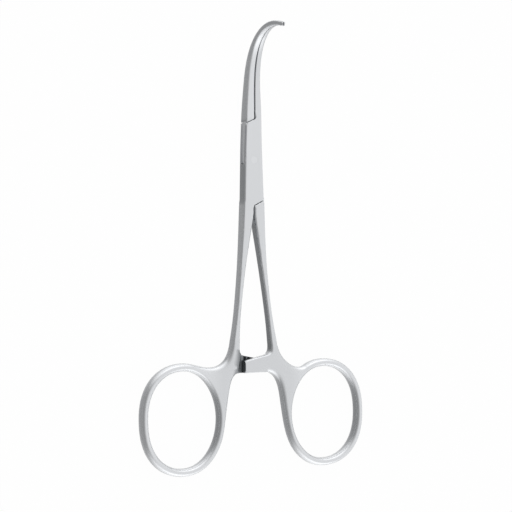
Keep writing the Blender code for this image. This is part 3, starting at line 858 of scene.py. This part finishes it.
class Forging:
    """A closed body made from a plan, its thickness and its rounded edges."""

    def __init__(self, name: str, jaws: Jaws, handle: Handle, shoulder: Shoulder | None = None) -> None:
        """Name the body and keep the sizes that shape it.

        Args:
            name: Name of the body.
            jaws: Sizes of the jaws.
            handle: Sizes of the handle.
            shoulder: The edge of the pocket across the body, where it has one.
        """
        self.name = name
        self.jaws = jaws
        self.handle = handle
        self.shoulder = shoulder

    def thickness(self, y: float) -> float:
        """Thickness at a place along the straight instrument."""
        return self.jaws.thickness(y) if y > self.jaws.box.top else self.handle.thickness(y)

    def _plan_points(self, plan: Outlines) -> np.ndarray:
        """Outline points, rows of points along the rounded edges and points on the flat.

        Args:
            plan: The body's outlines.

        Returns:
            All points of the plan.
        """
        rows = [plan.starts]
        for row in range(1, FINE.rows + 1):
            offsets = plan.edges[:, 0] * FINE.inset(row)
            moved = plan.starts + plan.inward * offsets[:, None]
            clear = plan.nearest(moved) > FINE.row_clear * offsets
            rows.append(moved[clear & plan.inside(moved) & (offsets > FINE.row_least)])
        low, high = plan.starts.min(axis=0), plan.starts.max(axis=0)
        grid = np.stack(np.meshgrid(np.arange(low[0], high[0], FINE.fill),
                                    np.arange(low[1], high[1], FINE.fill)), axis=-1).reshape(-1, 2)
        grid = grid[plan.inside(grid)]
        on_flat = plan.drops(grid)[1] <= 0.0
        rows.append(grid[on_flat & (plan.nearest(grid) > FINE.fill_clear * FINE.fill)])
        if self.shoulder:
            line = self.shoulder.rows()
            rows.append(line[plan.inside(line) & (plan.nearest(line) > FINE.line_clear)])
        return np.concatenate(rows)

    def build(self, outline: list[EdgePoint], hole: list[EdgePoint]) -> bpy.types.Object:
        """Make the body.

        Args:
            outline: The plan's outline, clockwise.
            hole: The ring's hole, anticlockwise.

        Returns:
            The new object.
        """
        plan = Outlines([outline[::-1], hole[::-1]])
        points = [Vector(p) for p in self._plan_points(plan)]
        flat, _, faces, *_ = delaunay_2d_cdt(points, plan.constraints(), [], 0, TINY)
        places = np.array([tuple(v) for v in flat])
        corners = np.array([face[:3] for face in faces])
        corners = corners[plan.inside(places[corners].mean(axis=1))]
        falls, rims = plan.drops(places)
        if self.shoulder:
            box_end = -self.jaws.box.bottom - self.jaws.box.half_width_at_pivot
            on_box = (places[:, 1] > box_end) & (places[:, 1] < 0.0)
            more_falls, more_rims = self.shoulder.drops(places)
            falls = np.where(on_box, np.maximum(falls, more_falls), falls)
            rims = np.where(on_box, np.maximum(rims, more_rims), rims)
        heights = np.array([self.thickness(y) for y in places[:, 1]]) / 2 - falls
        return self._mesh(places, heights, rims, corners)

    def _mesh(self, places: np.ndarray, heights: np.ndarray, rims: np.ndarray,
              corners: np.ndarray) -> bpy.types.Object:
        """Upper face, mirror image below and the wall between them, carried onto the curve.

        Args:
            places: Points of the plan.
            heights: Height of each point over the middle plane.
            rims: How far into a rounding each point lies.
            corners: The plan's triangles.

        Returns:
            The new object.
        """
        count = len(places)
        upper = self.jaws.bend(np.column_stack((places, heights)))
        lower = self.jaws.bend(np.column_stack((places, -heights)))
        faces = [tuple(face) for face in corners]
        faces += [(c + count, b + count, a + count) for a, b, c in corners]
        sides = {(a, b) for face in corners for a, b in zip(face, np.roll(face, -1))}
        faces += [(b, a, a + count, b + count) for a, b in sides if (b, a) not in sides]
        mesh = bpy.data.meshes.new(self.name)
        mesh.from_pydata(np.concatenate((upper, lower)).tolist(), [], [[int(i) for i in f] for f in faces])
        rim = mesh.attributes.new("rim", "FLOAT", "POINT")
        rim.data.foreach_set("value", np.concatenate((rims, rims)).astype(np.float32))
        shape = bmesh.new()
        shape.from_mesh(mesh)
        loose = [v for v in shape.verts if not v.link_faces]
        bmesh.ops.delete(shape, geom=loose, context="VERTS")
        bmesh.ops.recalc_face_normals(shape, faces=shape.faces)
        shape.to_mesh(mesh)
        shape.free()
        return stand(self.name, mesh)


class Milling:
    """Cutters, and the cuts that they make."""

    @staticmethod
    def prism(corners: list[Point], low: float, high: float, along_y: bool = False) -> bpy.types.Object:
        """A cutter with straight walls.

        Args:
            corners: Its profile, in X and Y, or in X and Z where it runs along Y.
            low: Where it starts.
            high: Where it ends.
            along_y: Whether it runs along Y.

        Returns:
            The cutter.
        """
        shape = bmesh.new()
        places = [(x, low, z) if along_y else (x, z, low) for x, z in corners]
        base = shape.faces.new([shape.verts.new(place) for place in places])
        made = bmesh.ops.extrude_face_region(shape, geom=[base])
        moved = [item for item in made["geom"] if isinstance(item, bmesh.types.BMVert)]
        way = (0.0, high - low, 0.0) if along_y else (0.0, 0.0, high - low)
        bmesh.ops.translate(shape, verts=moved, vec=way)
        bmesh.ops.recalc_face_normals(shape, faces=shape.faces)
        return Milling.finish_cutter(shape)

    @staticmethod
    def finish_cutter(shape: bmesh.types.BMesh) -> bpy.types.Object:
        """Turn a shape into a cutter object."""
        return stand("cutter", close_mesh(shape, "cutter"))

    @staticmethod
    def cut(body: bpy.types.Object, cutters: list[bpy.types.Object]) -> None:
        """Take the cutters' shapes out of a body and remove the cutters.

        Args:
            body: The body.
            cutters: What is cut out of it.
        """
        for cutter in cutters:
            modifier = body.modifiers.new("cut", "BOOLEAN")
            modifier.operation = "DIFFERENCE"
            modifier.solver = "EXACT"
            modifier.object = cutter
        bpy.context.view_layer.update()
        graph = bpy.context.evaluated_depsgraph_get()
        mesh = bpy.data.meshes.new_from_object(body.evaluated_get(graph))
        body.modifiers.clear()
        body.data = mesh
        for cutter in cutters:
            bpy.data.objects.remove(cutter, do_unlink=True)


@dataclass(frozen=True)
class Shades:
    """Painted shade on the steel from place to place: 0 is the plain colour and 1 the painted shade colour.
    """

    box: BoxLock
    jaws: Jaws
    handle: Handle
    # Painted shade on the plain faces, at places along the jaws and from the box down to the webs.
    jaw_places: tuple[float, ...] = (21.0 * MM, 30.0 * MM, 35.5 * MM, 38.0 * MM, 39.4 * MM, 40.6 * MM)
    right_jaw: tuple[float, ...] = (0.04, 0.06, 0.11, 0.18, 0.2, 0.22, 0.27)
    left_jaw: tuple[float, ...] = (0.0, 0.0, 0.0, 0.08, 0.08, 0.14, 0.27)
    below_jaws: tuple[float, ...] = (0.04, 0.05, 0.06, 0.07, 0.11)
    web_above_foot: float = 4.0 * MM
    ring: float = 0.02
    ring_from: float = 11.0 * MM
    ring_by: float = 17.0 * MM
    # Painted shade on the walls that face left, and how closely they have to face that way.
    jaw_wall: float = 0.18
    box_wall: float = 0.45
    female_shank_wall: float = 0.1
    male_shank_wall: float = 0.6
    hole_wall: float = 0.3
    bar_wall: float = 0.12
    wall_focus: int = 10
    bar_focus: int = 2
    # Painted shade on the upright walls in the seams of the box lock.
    seam_wall: float = 0.85
    upright: float = 0.35
    lock_inset: float = 0.25 * MM
    lock_below: float = 0.2 * MM
    lock_above: float = 0.5 * MM
    # Painted shade in the milled relief of the left arm and on the end wall of the right one.
    relief: float = 0.8
    relief_growth: float = 2.2
    relief_ahead: float = 0.35 * MM
    skin: float = 0.02 * MM
    arm_end: float = 0.25
    arm_end_more: float = 0.45
    arm_end_skin: float = 0.03 * MM
    arm_end_above: float = 0.02

    def on_relief(self, place: Vector) -> float:
        """Painted shade in the milled relief of the left arm, from its start to under the other arm.

        Args:
            place: A place on the half.

        Returns:
            The darkness.
        """
        arm = self.handle
        x, y, z = place
        start = -arm.relief_start - self.relief_ahead + (y + arm.arm_end_top) * math.tan(arm.relief_tilt)
        share = (x - start) / (arm.relief_start - arm.relief_foot)
        on_arm = -arm.arm_bottom - arm.cut_below < y < -arm.arm_top + arm.cut_above
        on_cut = on_arm and share > 0.0 and z < self.box.thickness - self.skin
        return self.relief * (1.0 - (1.0 - min(share, 1.0)) ** self.relief_growth) if on_cut else 0.0

    def on_arm_end(self, place: Vector) -> float:
        """Painted shade on the end wall of the right arm, which stands in the relief's corner.

        Args:
            place: A place on the half.

        Returns:
            The darkness.
        """
        arm = self.handle
        x, y, z = place
        depth = (self.box.thickness - arm.arm_edge - z) / (self.box.thickness / 2 - arm.arm_edge)
        on_end = x < -arm.arm_end + self.arm_end_skin and -arm.arm_bottom < y < -arm.arm_top
        dark = self.arm_end + self.arm_end_more * ease(depth)
        return dark if on_end and depth > -self.arm_end_above else 0.0

    def on_face(self, x: float, y: float) -> float:
        """Painted shade on the plain faces: least on the left jaw's root and the rings, most at the tips.

        Args:
            x: Place across the instrument.
            y: Place along it.

        Returns:
            The darkness.
        """
        if y > self.box.top:
            tones = self.right_jaw if x > self.jaws.sway(y) else self.left_jaw
            return float(np.interp(y, (self.box.top, *self.jaw_places), tones))
        arm = self.handle
        along = (-self.box.top, 0.0, self.box.bottom, arm.foot_y - self.web_above_foot, arm.arm_top)
        tone = float(np.interp(-y, along, self.below_jaws))
        return between(tone, self.ring, ease((abs(x) - self.ring_from) / (self.ring_by - self.ring_from)))

    def in_lock(self, x: float, y: float) -> bool:
        """Whether a place lies within the box's sides, where only the seams' walls stand upright."""
        low, high = -self.box.bottom - self.lock_below, self.box.top + self.lock_above
        return low < y < high and abs(x) < self.box.half_width(y) - self.lock_inset

    def on_wall(self, x: float, y: float, facing: float, on_shank: float) -> float:
        """Painted shade on a wall that faces left, standing for the floor in the instrument's own shade.

        Args:
            x: Place across the instrument.
            y: Place along it.
            facing: How squarely the wall faces left, from 0 to 1.
            on_shank: Darkness of the shank's wall.

        Returns:
            The darkness.
        """
        if y > self.box.top:
            return self.jaw_wall * facing**self.wall_focus
        if y > -self.box.bottom:
            return self.box_wall * facing**self.wall_focus
        if y > -self.handle.arm_top:
            return on_shank * facing**self.wall_focus
        in_hole = abs(x) < self.handle.ring_x if x < 0.0 else x > self.handle.ring_x
        return (self.hole_wall if in_hole else self.bar_wall) * facing**self.bar_focus

    def mark(self, body: bpy.types.Object, milled: Callable[[Vector], float],
             on_shank: float) -> None:
        """Write the painted shade of each place into a half.

        Args:
            body: The half.
            milled: Gives the painted shade of its milled places.
            on_shank: Painted shade of the left wall of its shank.
        """
        values = []
        for vertex in body.data.vertices:
            x, y = vertex.co.xy
            wall = self.on_wall(x, y, max(0.0, -vertex.normal.x), on_shank)
            # Painted shade on the upright walls in the seams.
            if self.in_lock(x, y) and abs(vertex.normal.z) < self.upright:
                wall = self.seam_wall
            face = self.on_face(x, y)
            values.append(between(face, 1.0, max(milled(vertex.co), wall)))
        body.data.attributes.new("shade", "FLOAT", "POINT").data.foreach_set("value", values)


@dataclass
class Halves:
    """Both halves of the instrument, milled to fit each other."""

    box: BoxLock = field(default_factory=BoxLock)

    def __post_init__(self) -> None:
        """Build the sub-assemblies' sizes on the box's."""
        self.jaws = Jaws(self.box)
        self.handle = Handle(self.box)
        self.left_handle = Handle(
            self.box, foot_half_width=1.14 * MM, bow=-0.08 * MM,
            ring_y=77.24 * MM, ring_height=33.5 * MM, ring_tilt=math.radians(-1.3),
            outer_web_angle=math.radians(101.8), outer_web_pulls=(0.728, 0.226),
            inner_web_angle=math.radians(-154.2), inner_web_pulls=(0.304, 0.209), inner_web_x=5.74 * MM)
        self.shades = Shades(self.box, self.jaws, self.handle)
        self.ends = self.box.seam_ends(self.jaws.seam_offset + self.jaws.gap_root / 2)
        self.left_from = (-self.box.half_width(self.box.top), self.ends["top_side"][1])
        low_side = self.box.half_width(-self.box.bottom) - self.box.side_clearance
        self.right_from = (low_side, self.ends["bottom_side"][1])
        self.left_angle = self.box.touch_angle(self.left_from)
        self.right_angle = self.box.touch_angle(self.right_from)
        self.upper_from = (self.jaws.seam_offset - self.jaws.gap_root / 2, self.box.top)
        self.lower_from = (-self.box.bottom_seam_offset + self.box.seam_gap, -self.box.bottom)

    def female_outline(self) -> list[EdgePoint]:
        """Plan of the half with the box, clockwise.

        Returns:
            The points of the plan.
        """
        side_edge, seam_edge = even(self.box.edge), even(self.box.seam_edge)
        handle = Run.mirrored(self.left_handle.outline())
        left_side = (-self.box.half_width(-self.box.side_bottom), -self.box.side_bottom)
        run = self.jaws.back_run(Side.RIGHT)
        top_right = (self.jaws.back(self.box.top), self.box.top)
        run += Run.straight(top_right, self.ends["bottom_side"], side_edge)
        run += Run.straight(self.ends["bottom_side"], self.ends["bottom_corner"], seam_edge)
        run += Run.straight(self.ends["bottom_corner"], handle[0][:2], seam_edge)
        run += handle
        run += Run.straight(handle[-1][:2], left_side, side_edge)[1:]
        run += Run.straight(left_side, self.ends["top_side"], side_edge)
        run += Run.straight(self.ends["top_side"], self.ends["top_corner"], even(self.box.seam_break))
        return run + self.jaws.face_run(Side.RIGHT)

    def male_outline(self) -> list[EdgePoint]:
        """Plan of the half with the tenon, clockwise.

        Returns:
            The points of the plan.
        """
        seam_edge = even(self.box.seam_edge)
        side_edge = self.jaws.back_edge(self.box.top)
        back_root = (-self.jaws.back(self.box.top), self.box.top)
        right_open = self.right_angle + self.box.open_angle
        left_open = self.left_angle + self.box.open_angle
        run = Run.straight(self.box.on_boss(self.left_angle), self.left_from, side_edge)
        run += Run.straight(self.left_from, back_root, side_edge) + [(*back_root, *side_edge)]
        run += reversed(self.jaws.back_run(Side.LEFT))
        run += reversed(self.jaws.face_run(Side.LEFT))
        run += Run.straight(self.upper_from, self.box.on_boss(right_open), seam_edge)
        run += self.box.boss_run(right_open, self.right_angle)
        run += Run.straight(self.box.on_boss(self.right_angle), self.right_from, seam_edge)
        run += self.handle.outline()
        run += Run.straight(self.lower_from, self.box.on_boss(left_open), seam_edge)
        return run + self.box.boss_run(left_open, self.left_angle)

    def slot_cutter(self) -> bpy.types.Object:
        """The slot through the box: all that the tenon sweeps as the jaws open.

        Returns:
            The cutter.
        """
        reach, clearance = self.box.slot_reach, self.box.side_clearance
        meets, fars = [], []
        for angle, source in ((self.right_angle, self.upper_from), (self.left_angle, self.lower_from)):
            opened = angle + self.box.open_angle
            meet = Vector(self.box.on_boss(opened, clearance))
            way = (Vector(source) - Vector(self.box.on_boss(opened))).normalized()
            meets.append((meet + way * (self.box.bottom + reach), meet))
            fars.append(meet + Vector((math.sin(opened), -math.cos(opened))) * reach)
        (upper_far, right_meet), (lower_far, left_meet) = meets
        right_far, left_far = fars
        corners = [upper_far, right_meet, right_far, (right_far[0], lower_far[1]),
                   lower_far, left_meet, left_far, (left_far[0], upper_far[1])]
        half = self.box.tenon_thickness / 2 + self.box.face_clearance
        middle = self.box.thickness / 2
        return Milling.prism([tuple(c) for c in corners], middle - half, middle + half)

    @staticmethod
    def on_seam(corner: Point, angle: float, x: float, gap: float) -> Point:
        """A point on a seam's line, moved off it by the gap."""
        return (x, corner[1] + (x - corner[0]) * math.tan(angle) + gap / math.cos(angle))

    def round_bar(self, radius: float, low: float, high: float, chamfer: float = 0.0) -> bmesh.types.BMesh:
        """An upright cylinder on the pivot's axis, with broken edges where a chamfer is given.

        Args:
            radius: Its radius.
            low: Height of its lower end.
            high: Height of its upper end.
            chamfer: Width of the broken edges.

        Returns:
            The cylinder.
        """
        end = radius - chamfer
        levels = [(low, end), (low + chamfer, radius), (high - chamfer, radius), (high, end)]
        turns = spread(0.0, 2 * math.pi, self.box.pin_sides)
        shape = bmesh.new()
        rings = []
        for z, size in levels if chamfer else (levels[0], levels[3]):
            round_places = [(size * math.cos(turn), size * math.sin(turn), z) for turn in turns]
            rings.append([shape.verts.new(place) for place in round_places])
        for lower, upper in zip(rings, rings[1:]):
            for i, vertex in enumerate(lower):
                shape.faces.new((lower[i - 1], vertex, upper[i], upper[i - 1]))
        shape.faces.new(rings[0])
        shape.faces.new(rings[-1])
        bmesh.ops.recalc_face_normals(shape, faces=shape.faces)
        return shape

    def rivet_hole_cutter(self) -> bpy.types.Object:
        """The hole for the rivet, through both cheeks and the tenon."""
        radius = self.box.pin_radius + self.box.pin_gap
        return Milling.finish_cutter(self.round_bar(radius, -self.box.thickness, 2 * self.box.thickness))

    def build_pin(self) -> bpy.types.Object:
        """The rivet, ground flush with both faces of the box.

        Returns:
            The new object.
        """
        bar = self.round_bar(self.box.pin_radius, 0.0, self.box.thickness, self.box.pin_gap)
        piece = stand("rivet", close_mesh(bar, "rivet"))
        rim = piece.data.attributes.new("rim", "FLOAT", "POINT")
        rim.data.foreach_set("value", [0.0] * len(piece.data.vertices))
        return piece

    def pocket_cutter(self, side: int) -> bpy.types.Object:
        """The pocket beside the tenon for one cheek; side 1 is the upper one.

        Args:
            side: The cheek's side.

        Returns:
            The cutter.
        """
        reach, gap = self.box.pocket_reach, self.box.seam_gap
        x, y = self.ends["top_corner"]
        corner = (x + self.jaws.sway(y), y)
        top = [self.on_seam(corner, self.box.top_seam_angle, x, gap) for x in (-reach, reach)]
        bottom = [self.on_seam(self.ends["bottom_corner"], self.box.bottom_seam_angle, x, -gap)
                  for x in (reach, -reach)]
        near = self.box.thickness / 2 + side * self.box.tenon_thickness / 2
        far = self.box.thickness / 2 + side * self.box.thickness
        return Milling.prism(top + bottom, min(near, far), max(near, far))

    def ratchet_cutter(self, side: Side) -> bpy.types.Object:
        """The cutter that leaves one ratchet arm with its teeth and leans its relief.

        Args:
            side: LEFT for the left arm, RIGHT for the right one.

        Returns:
            The cutter.
        """
        arm = self.handle
        low, high = -arm.arm_bottom - arm.cut_below, -arm.arm_top + arm.cut_above
        cutter = Milling.prism(arm.ratchet_profile(side), low, high, True)
        sign = -side.value
        for vertex in cutter.data.vertices:
            if abs(vertex.co.x + sign * arm.relief_start) < arm.relief_start - arm.relief_foot + TINY:
                vertex.co.x += sign * (vertex.co.y + arm.arm_end_top) * math.tan(arm.relief_tilt)
        return cutter

    def build_female(self) -> bpy.types.Object:
        """The half with the right jaw, the box and the left handle.

        Returns:
            The new object.
        """
        body = Forging("female_forging", self.jaws, self.left_handle).build(
            self.female_outline(), Run.mirrored(self.left_handle.hole()))
        Milling.cut(body, [self.slot_cutter(), self.rivet_hole_cutter(), self.ratchet_cutter(Side.LEFT)])
        # Painted shade: the relief, the left walls, the seams and the faces.
        self.shades.mark(body, self.shades.on_relief, self.shades.female_shank_wall)
        return body

    def build_male(self) -> bpy.types.Object:
        """The half with the left jaw, the tenon and the right handle.

        Returns:
            The new object.
        """
        corner, angle = self.ends["bottom_corner"], self.box.bottom_seam_angle
        line = [self.on_seam(corner, angle, x, -self.box.seam_gap)
                for x in (-self.box.half_width_at_pivot, 2 * self.box.half_width_at_pivot)]
        shoulder = Shoulder(line[0], line[1], self.box.seam_break)
        body = Forging("male_forging", self.jaws, self.handle, shoulder).build(
            self.male_outline(), self.handle.hole())
        Milling.cut(body, [self.pocket_cutter(1), self.pocket_cutter(-1), self.rivet_hole_cutter(),
                           self.ratchet_cutter(Side.RIGHT)])
        # Painted shade: the arm's end wall, the left walls, the seams and the faces.
        self.shades.mark(body, self.shades.on_arm_end, self.shades.male_shank_wall)
        return body


@dataclass(frozen=True)
class SatinSteel:
    """Satin ground stainless steel with brighter broken edges, and painted shade mixed in from the shade
    attribute.
    """

    name: str = "satin_steel"
    colour: tuple[float, float, float, float] = (0.7, 0.712, 0.73, 1.0)
    # Painted shade colour: the shade attribute mixes the steel towards it in recesses, seams, left-facing
    # walls and on the faces.
    painted_shade_colour: tuple[float, float, float, float] = (0.07, 0.08, 0.088, 1.0)
    roughness: float = 0.34
    edge_roughness: float = 0.22
    grain_across: float = 9000.0
    grain_along: float = 700.0
    grain_detail: float = 3.0
    grain_height: float = 0.012
    grain_depth: float = 0.05 * MM
    grain_roughness: float = 0.04

    def material(self) -> bpy.types.Material:
        """Build the material's nodes.

        Returns:
            The material.
        """
        made = bpy.data.materials.new(self.name)
        made.use_nodes = True
        tree = made.node_tree
        place = grow(tree, "TexCoord", {})["Object"]
        scale = (self.grain_across, self.grain_along, self.grain_across)
        stretch = grow(tree, "Mapping", {"Vector": place, "Scale": scale})["Vector"]
        noise = {"Vector": stretch, "Scale": 1.0, "Detail": self.grain_detail}
        grain = grow(tree, "TexNoise", noise)["Fac"]
        shade = grow(tree, "Attribute", {}, attribute_name="shade")["Fac"]
        # Painted shade: the shade attribute mixes the steel's colour towards the painted shade colour.
        tones = {"Factor": shade, "A": self.colour, "B": self.painted_shade_colour}
        rim = grow(tree, "Attribute", {}, attribute_name="rim")["Fac"]
        edges = {"Value": rim, "To Min": self.roughness, "To Max": self.edge_roughness}
        rough = grow(tree, "MapRange", edges)["Result"]
        spots = {"Value": grain, "To Min": -self.grain_roughness, "To Max": self.grain_roughness}
        vary = grow(tree, "MapRange", spots)["Result"]
        relief = {"Strength": self.grain_height, "Distance": self.grain_depth, "Height": grain}
        wire(tree, tree.nodes["Principled BSDF"], {
            "Base Color": grow(tree, "Mix", tones, data_type="RGBA")["Result"],
            "Metallic": 1.0,
            "Roughness": grow(tree, "Math", {0: rough, 1: vary})["Value"],
            "Normal": grow(tree, "Bump", relief)["Normal"],
        })
        return made


@dataclass(frozen=True)
class Studio:
    """Pale floor, soft light and the camera at the photograph's angle."""

    photo_scale: float = 0.3029 * MM
    camera_distance_px: float = 1809.0
    lean: float = math.radians(30.0)
    roll: float = math.radians(0.75)
    frame_px: float = 512.0
    pivot_px: Point = (251.15, 160.1)
    sensor_mm: float = 36.0
    near: float = 10.0 * MM
    middle: float = 1.85 * MM
    floor_reach: float = 3.0
    # The floor's grey, the share of the camera's view that is white, and how clear reflections find it.
    paper: float = 0.7
    white_share: float = 0.98
    clear_share: float = 0.7
    # Where the tent of light changes, along X and along Y, and how bright it is there.
    across_from: Span = (-0.8, 0.4)
    across_levels: Span = (0.4, 1.0)
    ends_from: Span = (0.5, 0.95)
    ends_levels: Span = (0.0, 0.68)
    tint: tuple[float, float, float, float] = (1.0, 1.0, 1.0, 1.0)

    def camera(self) -> None:
        """Stand the camera so that the pivot falls on its place in the photograph."""
        centre = self.frame_px / 2
        u, v = self.pivot_px[0] - centre, centre - self.pivot_px[1]
        x = u / (math.cos(self.lean) - u * math.sin(self.lean) / self.camera_distance_px)
        y = v * (1.0 + x * math.sin(self.lean) / self.camera_distance_px)
        turn = Matrix.Rotation(-self.roll, 3, "Z")
        back = turn @ Vector((-math.sin(self.lean), 0.0, math.cos(self.lean)))
        up = turn @ Vector((0.0, 1.0, 0.0))
        right = up.cross(back)
        target = turn @ (Vector((-x, -y, 0.0)) * self.photo_scale) + Vector((0.0, 0.0, self.middle))
        data = bpy.data.cameras.new("camera")
        data.sensor_width = self.sensor_mm
        data.lens = self.sensor_mm * self.camera_distance_px / self.frame_px
        data.clip_start = self.near
        camera = stand("camera", data)
        place = target + back * self.camera_distance_px * self.photo_scale
        turned = Matrix((right, up, back)).transposed().to_4x4()
        camera.matrix_world = Matrix.Translation(place) @ turned
        bpy.context.scene.camera = camera

    def floor(self) -> None:
        """A wide pale floor under the instrument.

        The camera sees it white, with a little of the shadow left. Most of the steel's reflections
        pass it and show the pale tent of light beyond.
        """
        shape = bmesh.new()
        bmesh.ops.create_grid(shape, x_segments=1, y_segments=1, size=self.floor_reach)
        floor = stand("floor", close_mesh(shape, "floor"))
        made = bpy.data.materials.new("floor_paper")
        made.use_nodes = True
        tree = made.node_tree
        tree.nodes.clear()
        light = grow(tree, "LightPath", {})
        paper = grow(tree, "BsdfDiffuse", {"Color": (self.paper, self.paper, self.paper, 1.0)})["BSDF"]
        glow = grow(tree, "Emission", {})["Emission"]
        clear = grow(tree, "BsdfTransparent", {})["BSDF"]
        white = grow(tree, "Math", {0: light["Is Camera Ray"], 1: self.white_share}, operation="MULTIPLY")
        passed = grow(tree, "Math", {0: light["Is Glossy Ray"], 1: self.clear_share}, operation="MULTIPLY")
        lit = grow(tree, "MixShader", {"Fac": white["Value"], 1: paper, 2: glow})["Shader"]
        seen = grow(tree, "MixShader", {"Fac": passed["Value"], 1: lit, 2: clear})["Shader"]
        grow(tree, "OutputMaterial", {"Surface": seen})
        floor.data.materials.append(made)

    def world(self) -> None:
        """A soft tent of light: bright over the right and at both ends, dim on the left."""
        world = bpy.data.worlds.new("studio")
        bpy.context.scene.world = world
        world.use_nodes = True
        tree = world.node_tree
        parts = grow(tree, "SeparateXYZ", {"Vector": grow(tree, "TexCoord", {})["Generated"]})
        size = grow(tree, "Math", {0: parts["Y"]}, operation="ABSOLUTE")["Value"]
        across = self.ramp(tree, parts["X"], self.across_from, self.across_levels)
        ends = self.ramp(tree, size, self.ends_from, self.ends_levels)
        total = grow(tree, "Math", {0: across, 1: ends})["Value"]
        camera_ray = grow(tree, "LightPath", {})["Is Camera Ray"]
        seen = grow(tree, "Mix", {"Factor": camera_ray, "A": total, "B": 1.0})["Result"]
        wire(tree, tree.nodes["Background"], {"Color": self.tint, "Strength": seen})

    @staticmethod
    def ramp(tree: bpy.types.NodeTree, value: bpy.types.NodeSocket, span: Span,
             levels: Span) -> bpy.types.NodeSocket:
        """A smooth step between two levels as a value crosses a span.

        Args:
            tree: The tree that holds the step.
            value: The value.
            span: Where the step begins and ends.
            levels: The levels before and after it.

        Returns:
            The step's output.
        """
        step = {"Value": value, "From Min": span[0], "From Max": span[1],
                "To Min": levels[0], "To Max": levels[1]}
        return grow(tree, "MapRange", step, interpolation_type="SMOOTHSTEP")["Result"]


def dress(piece: bpy.types.Object, material: bpy.types.Material, crease: float) -> None:
    """Give a piece its material, smooth shading and crisp creases.

    Args:
        piece: The piece.
        material: Its material.
        crease: Angle from which an edge is crisp.
    """
    piece.data.materials.clear()
    piece.data.materials.append(material)
    piece.data.shade_smooth()
    piece.data.set_sharp_from_angle(angle=crease)


def main() -> None:
    """Build the instrument's pieces, then the studio."""
    logging.basicConfig(level=logging.INFO, format="%(message)s")
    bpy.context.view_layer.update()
    steel = SatinSteel().material()
    halves = Halves()
    for build, body, node, slot in ((halves.build_female, "female_body", "female_half", "satin_steel"),
                                    (halves.build_male, "male_body", "male_half", "satin_steel"),
                                    (halves.build_pin, "female_body", "joint_pin", "rivet_steel")):
        piece = build()
        dress(piece, steel, CREASE)
        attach(piece, body)
        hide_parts(node)
        LOG.info("%s: %d faces", piece.name, len(piece.data.polygons))
    studio = Studio()
    studio.floor()
    studio.world()
    studio.camera()
    bpy.context.scene.view_settings.view_transform = "Standard"


if __name__ == "__main__":
    main()
